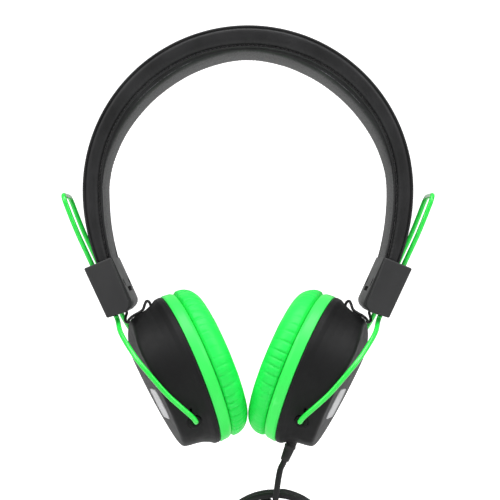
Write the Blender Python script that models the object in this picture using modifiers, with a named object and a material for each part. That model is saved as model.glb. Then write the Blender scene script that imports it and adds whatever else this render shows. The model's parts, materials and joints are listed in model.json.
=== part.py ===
"""Wired on-ear headset: padded headband, hairpin hangers, tilting ear cups, in-line microphone and plug.

Axes: +X towards the wearer's left, +Y towards the back of the head, +Z up.
The origin is the centre of the headset's bounding box, on its left-right middle plane.
Lengths are in metres. Heights called "rise" are measured from the centre of the headband's arc.
"""

import math

import bmesh
import bpy
from mathutils import Matrix, Vector

# ---------------------------------------------------------------- driving sizes
GAP = 0.0003
SIDES = {"left": 1, "right": -1}

BAND_DEPTH = 0.033
BAND_OUTER_HALF_WIDTH = 0.0735
BAND_OUTER_RISE = 0.0733
BAND_INNER_HALF_WIDTH = 0.0645
BAND_INNER_RISE = 0.0615
BAND_INNER_POWER = 1.087
BAND_OUTER_SWEEP = 5.9
BAND_INNER_SWEEP = 4.0
COVER_WALL = 0.0012
SPRING_THICKNESS = 0.0008
SPRING_WIDTH = 0.016

BLOCK_CENTRE = (0.0658, -0.04255)
BLOCK_LEAN = math.radians(25)
BLOCK_DEPTH = 0.0365
BLOCK_OUTER_FACE = 0.0027
BLOCK_SPLIT = -0.0062
BLOCK_INNER_FACE = -0.0104
COVER_END = 0.0055

WIRE_RADIUS = 0.0011
WIRE_X = -0.0008
WIRE_HALF_SPREAD = 0.0125
CROWN_HEIGHT = 0.0450
CROWN_LEAN_IN = -0.0013
CROWN_CORNER = 0.0045

CUP_CENTRE = (0.0268, -0.0808)
CUP_TILT = math.radians(22)
CUP_TOE_IN = math.radians(11)
CUP_DEPTH = 0.0187
CUP_WALL = 0.002
CUP_WEDGE = 0.08
CUP_BROW_START = 0.012
CUP_BROW_DROP = 0.0075
CUP_STEPS = 28
PIVOT_DROP = 0.0201
PIVOT_DEPTH = 0.0092
BUSH_RADIUS = 0.0029

RING_RADIUS = 0.0355
RING_THICKNESS = 0.0055
PAD_RADIUS = 0.0352
PAD_HOLE = 0.0150
PAD_FACE = 0.0161
DRIVER_RADIUS = 0.0195

BADGE_SIZE = (0.0146, 0.026, 0.001)
BADGE_DROP = 0.0091
BADGE_CORNER = 0.0045
BADGE_SINK = 0.0009

CABLE_RADIUS = 0.0014
LINK_RADIUS = 0.00065
RELIEF_DEPTH = 0.0060

COIL_RADIUS = 0.028
COIL_TURNS = 4
COIL_PITCH = 0.0034
COIL_CENTRE = (0.012, 0.002, -0.1665)
POD_SIZE = (0.0090, 0.0080, 0.0340)
POD_CENTRE = (0.012, -0.0045, -0.1625)
PLUG_TOP = -0.1500
PIN_RADIUS = 0.00175

LOWEST_RISE = COIL_CENTRE[2] - COIL_RADIUS - CABLE_RADIUS
ARC_CENTRE_Z = -(BAND_OUTER_RISE + LOWEST_RISE) / 2


# ---------------------------------------------------------------- scene helpers
def new_collection(name):
    group = bpy.data.collections.new(name)
    bpy.context.scene.collection.children.link(group)
    return group


def clear_scene():
    for old in list(bpy.data.objects):
        bpy.data.objects.remove(old, do_unlink=True)


def material(name, color, roughness, metallic=0.0):
    made = bpy.data.materials.new(name)
    made.use_nodes = True
    shader = made.node_tree.nodes["Principled BSDF"]
    shader.inputs["Base Color"].default_value = (*color, 1.0)
    shader.inputs["Roughness"].default_value = roughness
    shader.inputs["Metallic"].default_value = metallic
    return made


clear_scene()
PARTS = new_collection("headset")
CUTTERS = new_collection("headset_cutters")

LEATHERETTE = material("black_leatherette", (0.035, 0.035, 0.037), 0.5)
BLOCK_PLASTIC = material("dark_grey_plastic", (0.05, 0.05, 0.052), 0.45)
CUP_PLASTIC = material("black_matte_plastic", (0.02, 0.02, 0.021), 0.5)
GREEN_PLASTIC = material("green_plastic", (0.01, 0.85, 0.06), 0.35)
GREEN_WIRE = material("green_coated_wire", (0.02, 0.85, 0.05), 0.2)
GREEN_CUSHION = material("green_cushion", (0.02, 0.88, 0.10), 0.5)
SILVER_PLASTIC = material("silver_badge", (0.75, 0.75, 0.76), 0.35)
STEEL = material("spring_steel", (0.55, 0.56, 0.58), 0.3, 1.0)
BRASS = material("plated_contact", (0.80, 0.66, 0.35), 0.25, 1.0)
FOAM = material("grey_foam", (0.16, 0.16, 0.17), 0.95)
CLOTH = material("black_cloth", (0.02, 0.02, 0.02), 0.95)
RUBBER = material("black_rubber", (0.012, 0.012, 0.013), 0.55)
MEMBRANE = material("clear_membrane", (0.70, 0.70, 0.66), 0.3)
BOARD = material("circuit_board", (0.02, 0.20, 0.07), 0.45)


def empty(name, matrix, parent=None):
    made = bpy.data.objects.new(name, None)
    PARTS.objects.link(made)
    made.parent = parent
    made.matrix_local = matrix
    return made


def add_object(name, mesh, parent, finish, place=None):
    """A part when it has a finish, and otherwise a cutter."""
    made = bpy.data.objects.new(name, mesh)
    if finish:
        mesh.materials.append(finish)
        PARTS.objects.link(made)
    else:
        CUTTERS.objects.link(made)
        made.hide_render = True
        made.display_type = "WIRE"
    made.parent = parent
    made.matrix_local = place or Matrix()
    return made


def at(x, y, z):
    return Matrix.Translation((x, y, z))


def turn(angle, axis):
    return Matrix.Rotation(angle, 4, axis)


def bevel(part, width, segments=1):
    step = part.modifiers.new("rounded_edges", "BEVEL")
    step.width = width
    step.segments = segments
    step.limit_method = "ANGLE"
    step.angle_limit = math.radians(40)


def boolean(part, tool, operation="DIFFERENCE"):
    step = part.modifiers.new(operation.lower() + "_" + tool.name, "BOOLEAN")
    step.operation = operation
    step.object = tool


def box(name, low, high, parent, finish, rounding=0.0):
    mesh = bpy.data.meshes.new(name)
    shape = bmesh.new()
    bmesh.ops.create_cube(shape, size=1.0)
    size = Vector(high) - Vector(low)
    middle = (Vector(high) + Vector(low)) / 2
    bmesh.ops.scale(shape, vec=size, verts=shape.verts)
    bmesh.ops.translate(shape, vec=middle, verts=shape.verts)
    shape.to_mesh(mesh)
    shape.free()
    part = add_object(name, mesh, parent, finish)
    if rounding:
        bevel(part, rounding)
    return part


def rod(name, radius, start, end, parent, finish, sides=14):
    """A cylinder from one point to another."""
    start, end = Vector(start), Vector(end)
    mesh = bpy.data.meshes.new(name)
    shape = bmesh.new()
    bmesh.ops.create_cone(
        shape, cap_ends=True, segments=sides, radius1=radius, radius2=radius, depth=(end - start).length
    )
    shape.to_mesh(mesh)
    shape.free()
    mesh.shade_smooth()
    mesh.set_sharp_from_angle(angle=math.radians(40))
    aim = (end - start).to_track_quat("Z", "Y").to_matrix().to_4x4()
    return add_object(name, mesh, parent, finish, at(*((start + end) / 2)) @ aim)


def turned(name, profile, parent, finish, place=None, steps=CUP_STEPS, closed=False):
    """A turned shape about local Z. The profile holds (radius, height) points and runs down its outer side."""
    edges = [(i, i + 1) for i in range(len(profile) - 1)]
    if closed:
        edges.append((len(profile) - 1, 0))
    mesh = bpy.data.meshes.new(name)
    mesh.from_pydata([(radius, 0, height) for radius, height in profile], edges, [])
    part = add_object(name, mesh, parent, finish, place)
    step = part.modifiers.new("turned", "SCREW")
    step.angle = 2 * math.pi
    step.steps = steps
    step.render_steps = steps
    step.use_merge_vertices = True
    step.merge_threshold = 0.00001
    return part


def to_mesh(part):
    """The welded mesh that an object's data and modifiers make."""
    bpy.context.view_layer.update()
    evaluated = part.evaluated_get(bpy.context.evaluated_depsgraph_get())
    mesh = bpy.data.meshes.new_from_object(evaluated)
    shape = bmesh.new()
    shape.from_mesh(mesh)
    bmesh.ops.remove_doubles(shape, verts=shape.verts, dist=0.000001)
    shape.to_mesh(mesh)
    shape.free()
    return mesh


def slab(name, outline, depth, parent, finish, place=None):
    """A flat outline of (x, z) points, centred on the local XZ plane and as thick as depth."""
    curve = bpy.data.curves.new(name, "CURVE")
    curve.dimensions = "2D"
    curve.fill_mode = "BOTH"
    curve.extrude = depth / 2
    line = curve.splines.new("POLY")
    line.points.add(len(outline) - 1)
    line.use_cyclic_u = True
    for point, (x, z) in zip(line.points, outline):
        point.co = (x, z, 0, 1)
    drawn = add_object(name + "_outline", curve, None, None)
    mesh = to_mesh(drawn)
    bpy.data.objects.remove(drawn, do_unlink=True)
    mesh.transform(turn(math.radians(90), "X"))
    return add_object(name, mesh, parent, finish, place)


def tube(name, path, radius, parent, finish, roundness=1):
    """A wire or cable along a path, with closed ends."""
    curve = bpy.data.curves.new(name, "CURVE")
    curve.dimensions = "3D"
    curve.bevel_depth = radius
    curve.bevel_resolution = roundness
    curve.use_fill_caps = True
    line = curve.splines.new("POLY")
    line.points.add(len(path) - 1)
    for point, place in zip(line.points, path):
        point.co = (*place, 1)
    line.use_smooth = True
    return add_object(name, curve, parent, finish)


def smooth_path(points, per_span=3):
    """Points along a Catmull-Rom curve through the given ones."""
    points = [Vector(p) for p in points]
    padded = [2 * points[0] - points[1], *points, 2 * points[-1] - points[-2]]
    path = []
    for before, start, end, after in zip(padded, padded[1:], padded[2:], padded[3:]):
        for step in range(per_span):
            t = step / per_span
            path.append(
                0.5
                * (
                    2 * start
                    + (end - before) * t
                    + (2 * before - 5 * start + 4 * end - after) * t**2
                    + (3 * start - before - 3 * end + after) * t**3
                )
            )
    return path + [points[-1]]


def arc(centre, radius, start, end, steps):
    """(x, z) points along an arc, angles in degrees."""
    angles = [math.radians(start + (end - start) * i / steps) for i in range(steps + 1)]
    return [(centre[0] + radius * math.cos(a), centre[1] + radius * math.sin(a)) for a in angles]


# ---------------------------------------------------------------- frames of the moving pieces
def block_frame(sign):
    """Local X points outward, local Z up along the hanger's slide."""
    up = Vector((sign * math.sin(BLOCK_LEAN), 0, math.cos(BLOCK_LEAN)))
    outward = Vector((sign * math.cos(BLOCK_LEAN), 0, -math.sin(BLOCK_LEAN)))
    frame = Matrix((outward, up.cross(outward), up)).transposed().to_4x4()
    frame.translation = (sign * BLOCK_CENTRE[0], 0, ARC_CENTRE_Z + BLOCK_CENTRE[1])
    return frame


def cup_frame(sign):
    """Local X points down the cup, local Z out of its back, with the origin where ring and cup meet."""
    down = Vector((-sign * math.sin(CUP_TILT), 0, -math.cos(CUP_TILT)))
    outward = Vector((sign * math.cos(CUP_TILT), 0, -math.sin(CUP_TILT))) * math.cos(CUP_TOE_IN)
    outward.y = -math.sin(CUP_TOE_IN)
    frame = Matrix((down, outward.cross(down), outward)).transposed().to_4x4()
    frame.translation = (sign * CUP_CENTRE[0], 0, ARC_CENTRE_Z + CUP_CENTRE[1])
    return frame


def pivot_frame(sign):
    """The cup's frame, moved to the middle of its tilt axis, which is local Y."""
    return cup_frame(sign) @ at(PIVOT_DROP, 0, PIVOT_DEPTH)


# ---------------------------------------------------------------- headband
COVER_LOW = -0.040
HOLLOW_LOW = -0.0415
FOAM_LOW = -0.026
SPRING_LOW = -0.046


def band_line(half_width, rise, sweep, end, power=1.0):
    """One side of the band's outline from the left end over the crown to the right end.

    A power above 1 flattens the shoulders of the ellipse.
    """
    lower = [end * i / 4 for i in range(4, 0, -1)]
    left = [(half_width - sweep * z**2, z) for z in lower]
    over = []
    for x, z in arc((0, 0), 1, 0, 180, 24):
        flattened = math.copysign(abs(x) ** power, x)
        over.append((half_width * flattened, rise * abs(z) ** power))
    right = [(-x, z) for x, z in reversed(left)]
    return left + over + right


def band_outline(outer_inset, inner_inset, end):
    outer = band_line(
        BAND_OUTER_HALF_WIDTH - outer_inset, BAND_OUTER_RISE - outer_inset, BAND_OUTER_SWEEP, end
    )
    inner = band_line(
        BAND_INNER_HALF_WIDTH + inner_inset,
        BAND_INNER_RISE + inner_inset,
        BAND_INNER_SWEEP,
        end,
        BAND_INNER_POWER,
    )
    return outer + inner[::-1]


def spring_outline(end):
    """A strip that follows the band's outer side."""
    lines = []
    for inset in (COVER_WALL + GAP, COVER_WALL + GAP + SPRING_THICKNESS):
        lines.append(
            band_line(
                BAND_OUTER_HALF_WIDTH - inset, BAND_OUTER_RISE - inset, BAND_OUTER_SWEEP, end
            )
        )
    return lines[0] + lines[1][::-1]


def headband(root, frames):
    centre = at(0, 0, ARC_CENTRE_Z)
    cover = slab(
        "headband_cover", band_outline(0, 0, COVER_LOW), BAND_DEPTH, root, LEATHERETTE, centre
    )
    bevel(cover, 0.0014, 2)
    hollow = slab(
        "cover_hollow",
        band_outline(COVER_WALL, COVER_WALL, HOLLOW_LOW),
        BAND_DEPTH - 2 * COVER_WALL,
        root,
        None,
        centre,
    )
    boolean(cover, hollow)
    foam = slab(
        "headband_foam",
        band_outline(COVER_WALL + SPRING_THICKNESS + 2 * GAP, COVER_WALL + GAP, FOAM_LOW),
        BAND_DEPTH - 2 * COVER_WALL - 2 * GAP,
        root,
        FOAM,
        centre,
    )
    slab("headband_spring", spring_outline(SPRING_LOW), SPRING_WIDTH, root, STEEL, centre)
    for side, frame in frames.items():
        low = (-0.03, -0.03, -0.04)
        end_cutter = box(side + "_cover_trim", low, (0.03, 0.03, COVER_END), frame, None)
        boolean(cover, end_cutter)


# ---------------------------------------------------------------- slider blocks
BLOCK_TOP_OUTER = 0.00995
BLOCK_TOP_MIDDLE = 0.0094
BLOCK_TOP_INNER = 0.0091
BLOCK_BOTTOM_OUTER = -0.0142
BLOCK_BOTTOM_MIDDLE = -0.0153
BLOCK_BOTTOM_INNER = -0.0149
BLOCK_CORNER = 0.0040
GRIP_SLOT_HALF_WIDTH = 0.0075
GRIP_SLOT_BOTTOM = -0.0074
GRIP_SLOT_FLOOR = -0.0090
SCREW_SPREAD = 0.0120
SCREW_HEAD_RADIUS = 0.0017
SCREW_SHANK_RADIUS = 0.0009
BLOCK_SCREW_HEIGHT = -0.0030
SCREW_SEAT = -0.0085
LINK_HOLE_X = -0.0046
SOCKET_FLOOR = 0.0027
SOCKET_INNER = -0.0100
SOCKET_OUTER = -0.0025


def block_bores(side, frame, shell):
    """The two guides for the hanger's legs and the small outlet for the link cable."""
    for label, y in (("a", -WIRE_HALF_SPREAD), ("b", WIRE_HALF_SPREAD)):
        bore = rod(
            f"{side}_guide_{label}",
            WIRE_RADIUS + GAP,
            (WIRE_X, y, -0.02),
            (WIRE_X, y, 0.02),
            frame,
            None,
            12,
        )
        boolean(shell, bore)
    outlet = rod(
        side + "_link_outlet",
        LINK_RADIUS + GAP,
        (LINK_HOLE_X, 0, -0.02),
        (LINK_HOLE_X, 0, -0.0085),
        frame,
        None,
        12,
    )
    boolean(shell, outlet)


def band_socket(name, frame):
    """The opening at the top of the block that holds the end of the band."""
    half_depth = BAND_DEPTH / 2 + GAP
    return box(name, (SOCKET_INNER, -half_depth, SOCKET_FLOOR), (SOCKET_OUTER, half_depth, 0.02), frame, None)


def block_outer_shell(side, frame):
    join = BLOCK_SPLIT + 0.0001
    outline = [
        (BLOCK_OUTER_FACE, BLOCK_TOP_OUTER),
        (join, BLOCK_TOP_MIDDLE),
        (join, BLOCK_BOTTOM_MIDDLE),
        (BLOCK_OUTER_FACE, BLOCK_BOTTOM_OUTER),
    ]
    shell = slab(side + "_block_outer_shell", outline, BLOCK_DEPTH, frame, BLOCK_PLASTIC)
    bevel(shell, 0.0007)
    boolean(shell, band_socket(side + "_outer_socket", frame))
    slot_half = SPRING_WIDTH / 2 + 0.0004
    slot_low = (BLOCK_SPLIT - 0.002, -slot_half, -0.009)
    boolean(shell, box(side + "_spring_slot", slot_low, (-0.0037, slot_half, 0.004), frame, None))
    block_bores(side, frame, shell)
    return shell


def block_inner_shell(side, frame):
    join = BLOCK_SPLIT - GAP
    corner_centre = (BLOCK_INNER_FACE + BLOCK_CORNER, BLOCK_BOTTOM_INNER + BLOCK_CORNER)
    corner = arc(corner_centre, BLOCK_CORNER, 180, 264, 5)
    top_corner = (BLOCK_INNER_FACE - 0.0002, BLOCK_TOP_INNER)
    outline = [(join, BLOCK_TOP_MIDDLE), top_corner, *corner, (join, BLOCK_BOTTOM_MIDDLE + 0.0003)]
    shell = slab(side + "_block_inner_shell", outline, BLOCK_DEPTH, frame, BLOCK_PLASTIC)
    bevel(shell, 0.0005)
    boolean(shell, band_socket(side + "_inner_socket", frame))
    slot_low = (-0.02, -GRIP_SLOT_HALF_WIDTH, GRIP_SLOT_BOTTOM)
    slot_high = (GRIP_SLOT_FLOOR, GRIP_SLOT_HALF_WIDTH, GRIP_SLOT_BOTTOM + 0.0022)
    boolean(shell, box(side + "_grip_slot", slot_low, slot_high, frame, None))
    return shell


def block_screws(side, frame, outer, inner):
    """Two screws hold the shells together. Each has its own clearance hole and pilot hole."""
    z = BLOCK_SCREW_HEIGHT
    for label, y in (("front", -SCREW_SPREAD), ("rear", SCREW_SPREAD)):
        name = f"{side}_block_screw_{label}"
        head, shank = SCREW_HEAD_RADIUS, SCREW_SHANK_RADIUS
        recess = rod(name + "_recess", head + 0.0004, (-0.02, y, z), (SCREW_SEAT, y, z), frame, None)
        hole = rod(name + "_hole", shank + GAP, (-0.02, y, z), (-0.0030, y, z), frame, None, 12)
        boolean(inner, recess)
        boolean(inner, hole)
        boolean(outer, hole)
        profile = [(0, 0.0012), (head, 0.0009), (head, 0.0), (shank, 0.0), (shank, -0.0046), (0.0, -0.0051)]
        aim = at(SCREW_SEAT - GAP, y, z) @ turn(math.radians(-90), "Y")
        turned(name, profile, frame, STEEL, aim, 8)


def slider_block(side, frame):
    outer = block_outer_shell(side, frame)
    inner = block_inner_shell(side, frame)
    block_screws(side, frame, outer, inner)
    clamp_low = (BLOCK_SPLIT + GAP, -0.0079, -0.0086)
    box(side + "_band_clamp", clamp_low, (-0.0053, 0.0079, 0.0015), frame, STEEL)


# ---------------------------------------------------------------- hanger wire
GUIDE_END = -0.0150
CROWN_LEAN_START = 0.023


def leg_path(sign, front):
    """One leg of the hairpin from inside the block down to its bent end in the cup's bush."""
    way = -1 if front else 1
    to_block = block_frame(sign).inverted() @ cup_frame(sign)

    def beside_block(x, spread, z):
        return Vector((x, sign * way * spread, z))

    def beside_cup(down, spread, depth):
        return to_block @ Vector((down, sign * way * spread, depth))

    leg = [
        beside_block(WIRE_X, WIRE_HALF_SPREAD, GUIDE_END),
        beside_block(WIRE_X + 0.0001, 0.0136, GUIDE_END - 0.0024),
        beside_block(WIRE_X + 0.0003, 0.0213, -0.0233),
    ]
    if front:
        leg += [beside_block(-0.0029, 0.0307, -0.0347), beside_block(-0.0057, 0.0350, -0.0440)]
        leg += [beside_block(-0.0087, 0.0355, -0.0540), beside_block(-0.0116, 0.0352, -0.0612)]
        leg += [beside_cup(0.0168, 0.0324, 0.0104)]
    else:
        leg += [beside_block(-0.0020, 0.0307, -0.0347), beside_block(-0.0034, 0.0352, -0.0441)]
        leg += [beside_block(-0.0041, 0.0356, -0.0544)]
        leg += [beside_cup(0.0150, 0.0352, 0.0080)]
    leg += [beside_cup(0.0197, 0.0306, 0.0093), beside_cup(PIVOT_DROP, 0.0280, PIVOT_DEPTH)]
    path = smooth_path(leg)
    path.append(beside_cup(PIVOT_DROP, 0.0212, PIVOT_DEPTH))
    return path


def crown_path(sign):
    """The closed end of the hairpin above the block, from the front leg to the rear leg."""
    front = -sign * WIRE_HALF_SPREAD
    inner = WIRE_HALF_SPREAD - CROWN_CORNER
    top = CROWN_HEIGHT - WIRE_RADIUS

    def lean(z):
        """The wire curves in a little above the part that runs in the guides."""
        share = max(0.0, (z - CROWN_LEAN_START) / (CROWN_HEIGHT - CROWN_LEAN_START))
        return WIRE_X + CROWN_LEAN_IN * share**1.5

    half = [(WIRE_HALF_SPREAD, z) for z in (CROWN_LEAN_START, 0.031)]
    half += arc((inner, top - CROWN_CORNER), CROWN_CORNER, 0, 90, 4)
    rise = [Vector((lean(z), front / WIRE_HALF_SPREAD * y, z)) for y, z in half]
    fall = [Vector((p.x, -p.y, p.z)) for p in reversed(rise)]
    return rise + fall


def hanger_wire(side, sign, frame):
    front_leg = leg_path(sign, True)
    rear_leg = leg_path(sign, False)
    path = front_leg[::-1] + crown_path(sign) + rear_leg
    return tube(side + "_hanger_wire", path, WIRE_RADIUS, frame, GREEN_WIRE)


# ---------------------------------------------------------------- ear cups
CUP_MOUTH_RADIUS = 0.0330
CUP_MOUTH_DEPTH = 0.0028
CUP_BACK_RADIUS = 0.0307
CUP_FLOOR_RADIUS = 0.0285
BOSS_RADIUS = 0.0024
PILOT_RADIUS = 0.0012
PILOT_TOP = 0.0105
RELIEF_RADIUS = 0.0024
CUP_SIDE = [(0.0315, 0.0158), (0.0321, 0.0110), (0.0326, 0.0088), (0.0337, 0.0060)]
CUP_LIP = [(0.0342, 0.0033), (0.0355, 0.0027), (0.0350, 0.0)]
BACK_CORNER = 0.0030
SCREW_CIRCLE = 0.0285
CUP_SCREW_ANGLES = (180, 85, -85)
BOSS_TOP = 0.0125
BAFFLE_FRONT = 0.0016
BAFFLE_BACK = 0.0034
LINK_INLET = (0.0045, 0.0048)
BUSH_INNER = 0.0205
BUSH_OUTER = 0.0263


def wedge(mesh):
    """Leans the back of the cup, so that it's thinner at the bottom, and slopes off its upper edge."""
    for corner in mesh.vertices:
        share = corner.co.z / CUP_DEPTH
        past_start = max(0.0, -corner.co.x - CUP_BROW_START)
        brow = past_start / (RING_RADIUS - CUP_BROW_START)
        corner.co.z -= CUP_WEDGE * corner.co.x * share + CUP_BROW_DROP * brow**2 * share**2


def around(angle, radius):
    turn_by = math.radians(angle)
    return radius * math.cos(turn_by), radius * math.sin(turn_by)


def cup_shell(side, sign, axis):
    corner_centre = (CUP_BACK_RADIUS - BACK_CORNER, CUP_DEPTH - BACK_CORNER)
    corner = arc(corner_centre, BACK_CORNER, 90, 0, 3)
    outside = [(0, CUP_DEPTH), *corner, *CUP_SIDE, *CUP_LIP]
    inside = [(radius - CUP_WALL, height) for radius, height in (CUP_LIP[0], CUP_SIDE[2], CUP_SIDE[0])]
    floor = CUP_DEPTH - CUP_WALL
    mouth = [(CUP_MOUTH_RADIUS, 0), (CUP_MOUTH_RADIUS, CUP_MOUTH_DEPTH)]
    profile = [*outside, *mouth, *inside, (CUP_FLOOR_RADIUS, floor), (0, floor)]
    shell = turned(side + "_cup_shell", profile, axis, CUP_PLASTIC)
    mesh = to_mesh(shell)
    wedge(mesh)
    shell.modifiers.clear()
    shell.data = mesh
    for number, angle in enumerate(CUP_SCREW_ANGLES):
        x, y = around(angle, SCREW_CIRCLE)
        name = f"{side}_cup_boss_{number}"
        boss = rod(name, BOSS_RADIUS, (x, y, BAFFLE_BACK + GAP), (x, y, BOSS_TOP), axis, None, 10)
        pilot = rod(name + "_pilot", PILOT_RADIUS, (x, y, 0), (x, y, PILOT_TOP), axis, None, 8)
        boolean(shell, boss, "UNION")
        boolean(shell, pilot)
    for label, y in (("a", -1), ("b", 1)):
        hole = rod(
            f"{side}_bush_hole_{label}",
            BUSH_RADIUS + GAP,
            (PIVOT_DROP, y * 0.015, PIVOT_DEPTH),
            (PIVOT_DROP, y * 0.035, PIVOT_DEPTH),
            axis,
            None,
        )
        boolean(shell, hole)
    y = sign * LINK_INLET[0]
    inlet = rod(
        side + "_link_inlet",
        LINK_RADIUS + 0.0004,
        (-0.029, y, LINK_INLET[1]),
        (-0.040, y, LINK_INLET[1]),
        axis,
        None,
        12,
    )
    boolean(shell, inlet)
    if sign > 0:
        outlet = rod(
            "cable_outlet", RELIEF_RADIUS + GAP, (0.028, 0, RELIEF_DEPTH), (0.040, 0, RELIEF_DEPTH), axis, None
        )
        boolean(shell, outlet)
    return shell


def pivot_bushes(side, sign, axis):
    """A plain sleeve round each bent end of the hanger wire."""
    bore = WIRE_RADIUS + GAP
    length = BUSH_OUTER - BUSH_INNER
    profile = [(bore, length), (BUSH_RADIUS - 0.0004, length), (BUSH_RADIUS, length - 0.0004)]
    profile += [(BUSH_RADIUS, 0), (bore, 0)]
    for label, way in (("front", -1), ("rear", 1)):
        y = sign * way
        aim = at(PIVOT_DROP, y * BUSH_INNER, PIVOT_DEPTH) @ turn(-y * math.radians(90), "X")
        turned(f"{side}_pivot_bush_{label}", profile, axis, CUP_PLASTIC, aim, 14, True)


def badge_slab(name, margin, low, high, axis, finish):
    """A rounded plate on the back face, which leans with the cup's wedge. Its heights are above that face."""
    corner = BADGE_CORNER + margin
    half_x = BADGE_SIZE[0] / 2 - BADGE_CORNER
    half_y = BADGE_SIZE[1] / 2 - BADGE_CORNER
    outline = arc((half_x, half_y), corner, 0, 90, 4) + arc((-half_x, half_y), corner, 90, 180, 4)
    outline += arc((-half_x, -half_y), corner, 180, 270, 4) + arc((half_x, -half_y), corner, 270, 360, 4)
    face = at(BADGE_DROP, 0, CUP_DEPTH - CUP_WEDGE * BADGE_DROP) @ turn(math.atan(CUP_WEDGE), "Y")
    place = face @ at(0, 0, (low + high) / 2) @ turn(math.radians(-90), "X")
    return slab(name, outline, high - low, axis, finish, place)


def badge(side, axis, shell):
    """A blank plate in a shallow pocket."""
    low = GAP - BADGE_SINK
    pocket = badge_slab(side + "_badge_pocket", GAP, low - GAP, 0.003, axis, None)
    boolean(shell, pocket)
    plate = badge_slab(side + "_badge", 0, low, low + BADGE_SIZE[2], axis, SILVER_PLASTIC)
    bevel(plate, 0.0002)


def baffle(side, axis):
    hole = DRIVER_RADIUS + GAP
    edge = CUP_MOUTH_RADIUS - 0.0004
    profile = [(hole, BAFFLE_BACK), (edge - 0.0015, BAFFLE_BACK), (edge, 0.0020), (edge, BAFFLE_FRONT)]
    profile.append((hole, BAFFLE_FRONT))
    plate = turned(
        side + "_baffle",
        profile,
        axis,
        CUP_PLASTIC,
        closed=True,
    )
    for number, angle in enumerate(CUP_SCREW_ANGLES):
        x, y = around(angle, SCREW_CIRCLE)
        name = f"{side}_baffle_hole_{number}"
        hole_cutter = rod(name, 0.0013, (x, y, 0), (x, y, 0.01), axis, None, 10)
        boolean(plate, hole_cutter)
    notch = box(side + "_cable_notch", (0.0285, -0.0040, 0), (0.0400, 0.0040, 0.01), axis, None)
    boolean(plate, notch)


def cup_screws(side, axis):
    for number, angle in enumerate(CUP_SCREW_ANGLES):
        x, y = around(angle, SCREW_CIRCLE)
        profile = [(0, 0.0090), (0.0009, 0.0084), (0.0009, 0.0013), (0.0021, 0.0013)]
        profile += [(0.0021, 0.0004), (0, 0.0004)]
        turned(f"{side}_cup_screw_{number + 1}", profile, axis, STEEL, at(x, y, 0), 8)


def driver(side, axis):
    """Pan, magnet and membrane of a 40 mm loudspeaker driver."""
    rim = DRIVER_RADIUS
    pan = [(0, 0.0075), (0.0115, 0.0075), (0.0150, 0.0046), (rim, 0.0034)]
    pan += [(rim, 0.0012), (0.0186, 0.0012), (0.0186, 0.0028), (0.0140, 0.0038), (0.0110, 0.0062), (0, 0.0062)]
    turned(side + "_driver_frame", pan, axis, CUP_PLASTIC, steps=20)
    magnet = [(0, 0.0128), (0.0080, 0.0128), (0.0085, 0.0123), (0.0085, 0.0078), (0, 0.0078)]
    turned(side + "_driver_magnet", magnet, axis, STEEL, steps=20)
    film = [(0, 0.0013), (0.0045, 0.0017), (0.0075, 0.0025), (0.0130, 0.0020), (0.0183, 0.0024)]
    film += [(0.0183, 0.0020), (0.0130, 0.0015), (0.0075, 0.0021), (0.0045, 0.0013), (0, 0.0009)]
    turned(side + "_driver_membrane", film, axis, MEMBRANE, steps=20)


RING_HOLE = 0.0265
CLOTH_RADIUS = 0.0262
PAD_EDGE = 0.0078
PAD_HOLE_EDGE = 0.0035


def pad_ring(side, axis):
    front, back = -GAP, -RING_THICKNESS - GAP
    bulge = RING_RADIUS
    profile = [(RING_HOLE, front), (bulge - 0.0006, front), (bulge, front - 0.0012)]
    profile += [(bulge - 0.0003, front - 0.0040), (bulge - 0.0012, back), (RING_HOLE, back)]
    turned(side + "_pad_ring", profile, axis, GREEN_PLASTIC, closed=True)


def front_cloth(side, axis):
    top, bottom = -0.0040, -0.0052
    profile = [(0, top), (CLOTH_RADIUS - 0.0012, top), (CLOTH_RADIUS, -0.0046)]
    profile += [(CLOTH_RADIUS, bottom), (0, bottom)]
    turned(side + "_front_cloth", profile, axis, CLOTH, steps=20)


def ear_pad(side, axis):
    """A simple round cushion with an opening in the middle."""
    back = -RING_THICKNESS - 2 * GAP
    outer = arc((PAD_RADIUS - PAD_EDGE, -PAD_FACE + PAD_EDGE), PAD_EDGE, 0, -90, 4)
    inner = arc((PAD_HOLE + PAD_HOLE_EDGE, -PAD_FACE + PAD_HOLE_EDGE), PAD_HOLE_EDGE, 270, 180, 2)
    profile = [(PAD_HOLE, back), (PAD_RADIUS - 0.0010, back), *outer, *inner]
    turned(side + "_ear_pad", profile, axis, GREEN_CUSHION, closed=True)


def link_cable(side, sign, axis):
    """The thin lead from the slider block into the cup, with its spare loop."""
    from_block = cup_frame(sign).inverted() @ block_frame(sign)
    points = [
        from_block @ Vector((LINK_HOLE_X, 0, -0.0100)),
        from_block @ Vector((LINK_HOLE_X, 0, -0.0152)),
        from_block @ Vector((-0.0040, sign * 0.0006, -0.0175)),
        Vector((-0.0298, -sign * 0.0012, 0.0178)),
        Vector((-0.0308, -sign * 0.0022, 0.0177)),
        Vector((-0.0320, -sign * 0.0028, 0.0155)),
        Vector((-0.0327, -sign * 0.0028, 0.0130)),
        Vector((-0.0331, -sign * 0.0018, 0.0108)),
        Vector((-0.0338, sign * 0.0004, 0.0092)),
        Vector((-0.0359, sign * 0.0030, 0.0070)),
        Vector((-0.0367, sign * 0.0042, 0.0056)),
        Vector((-0.0358, sign * LINK_INLET[0], LINK_INLET[1])),
        Vector((-0.0335, sign * LINK_INLET[0], LINK_INLET[1])),
        Vector((-0.0305, sign * LINK_INLET[0], LINK_INLET[1])),
    ]
    tube(side + "_link_cable", smooth_path(points, 2), LINK_RADIUS, axis, RUBBER)


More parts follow.
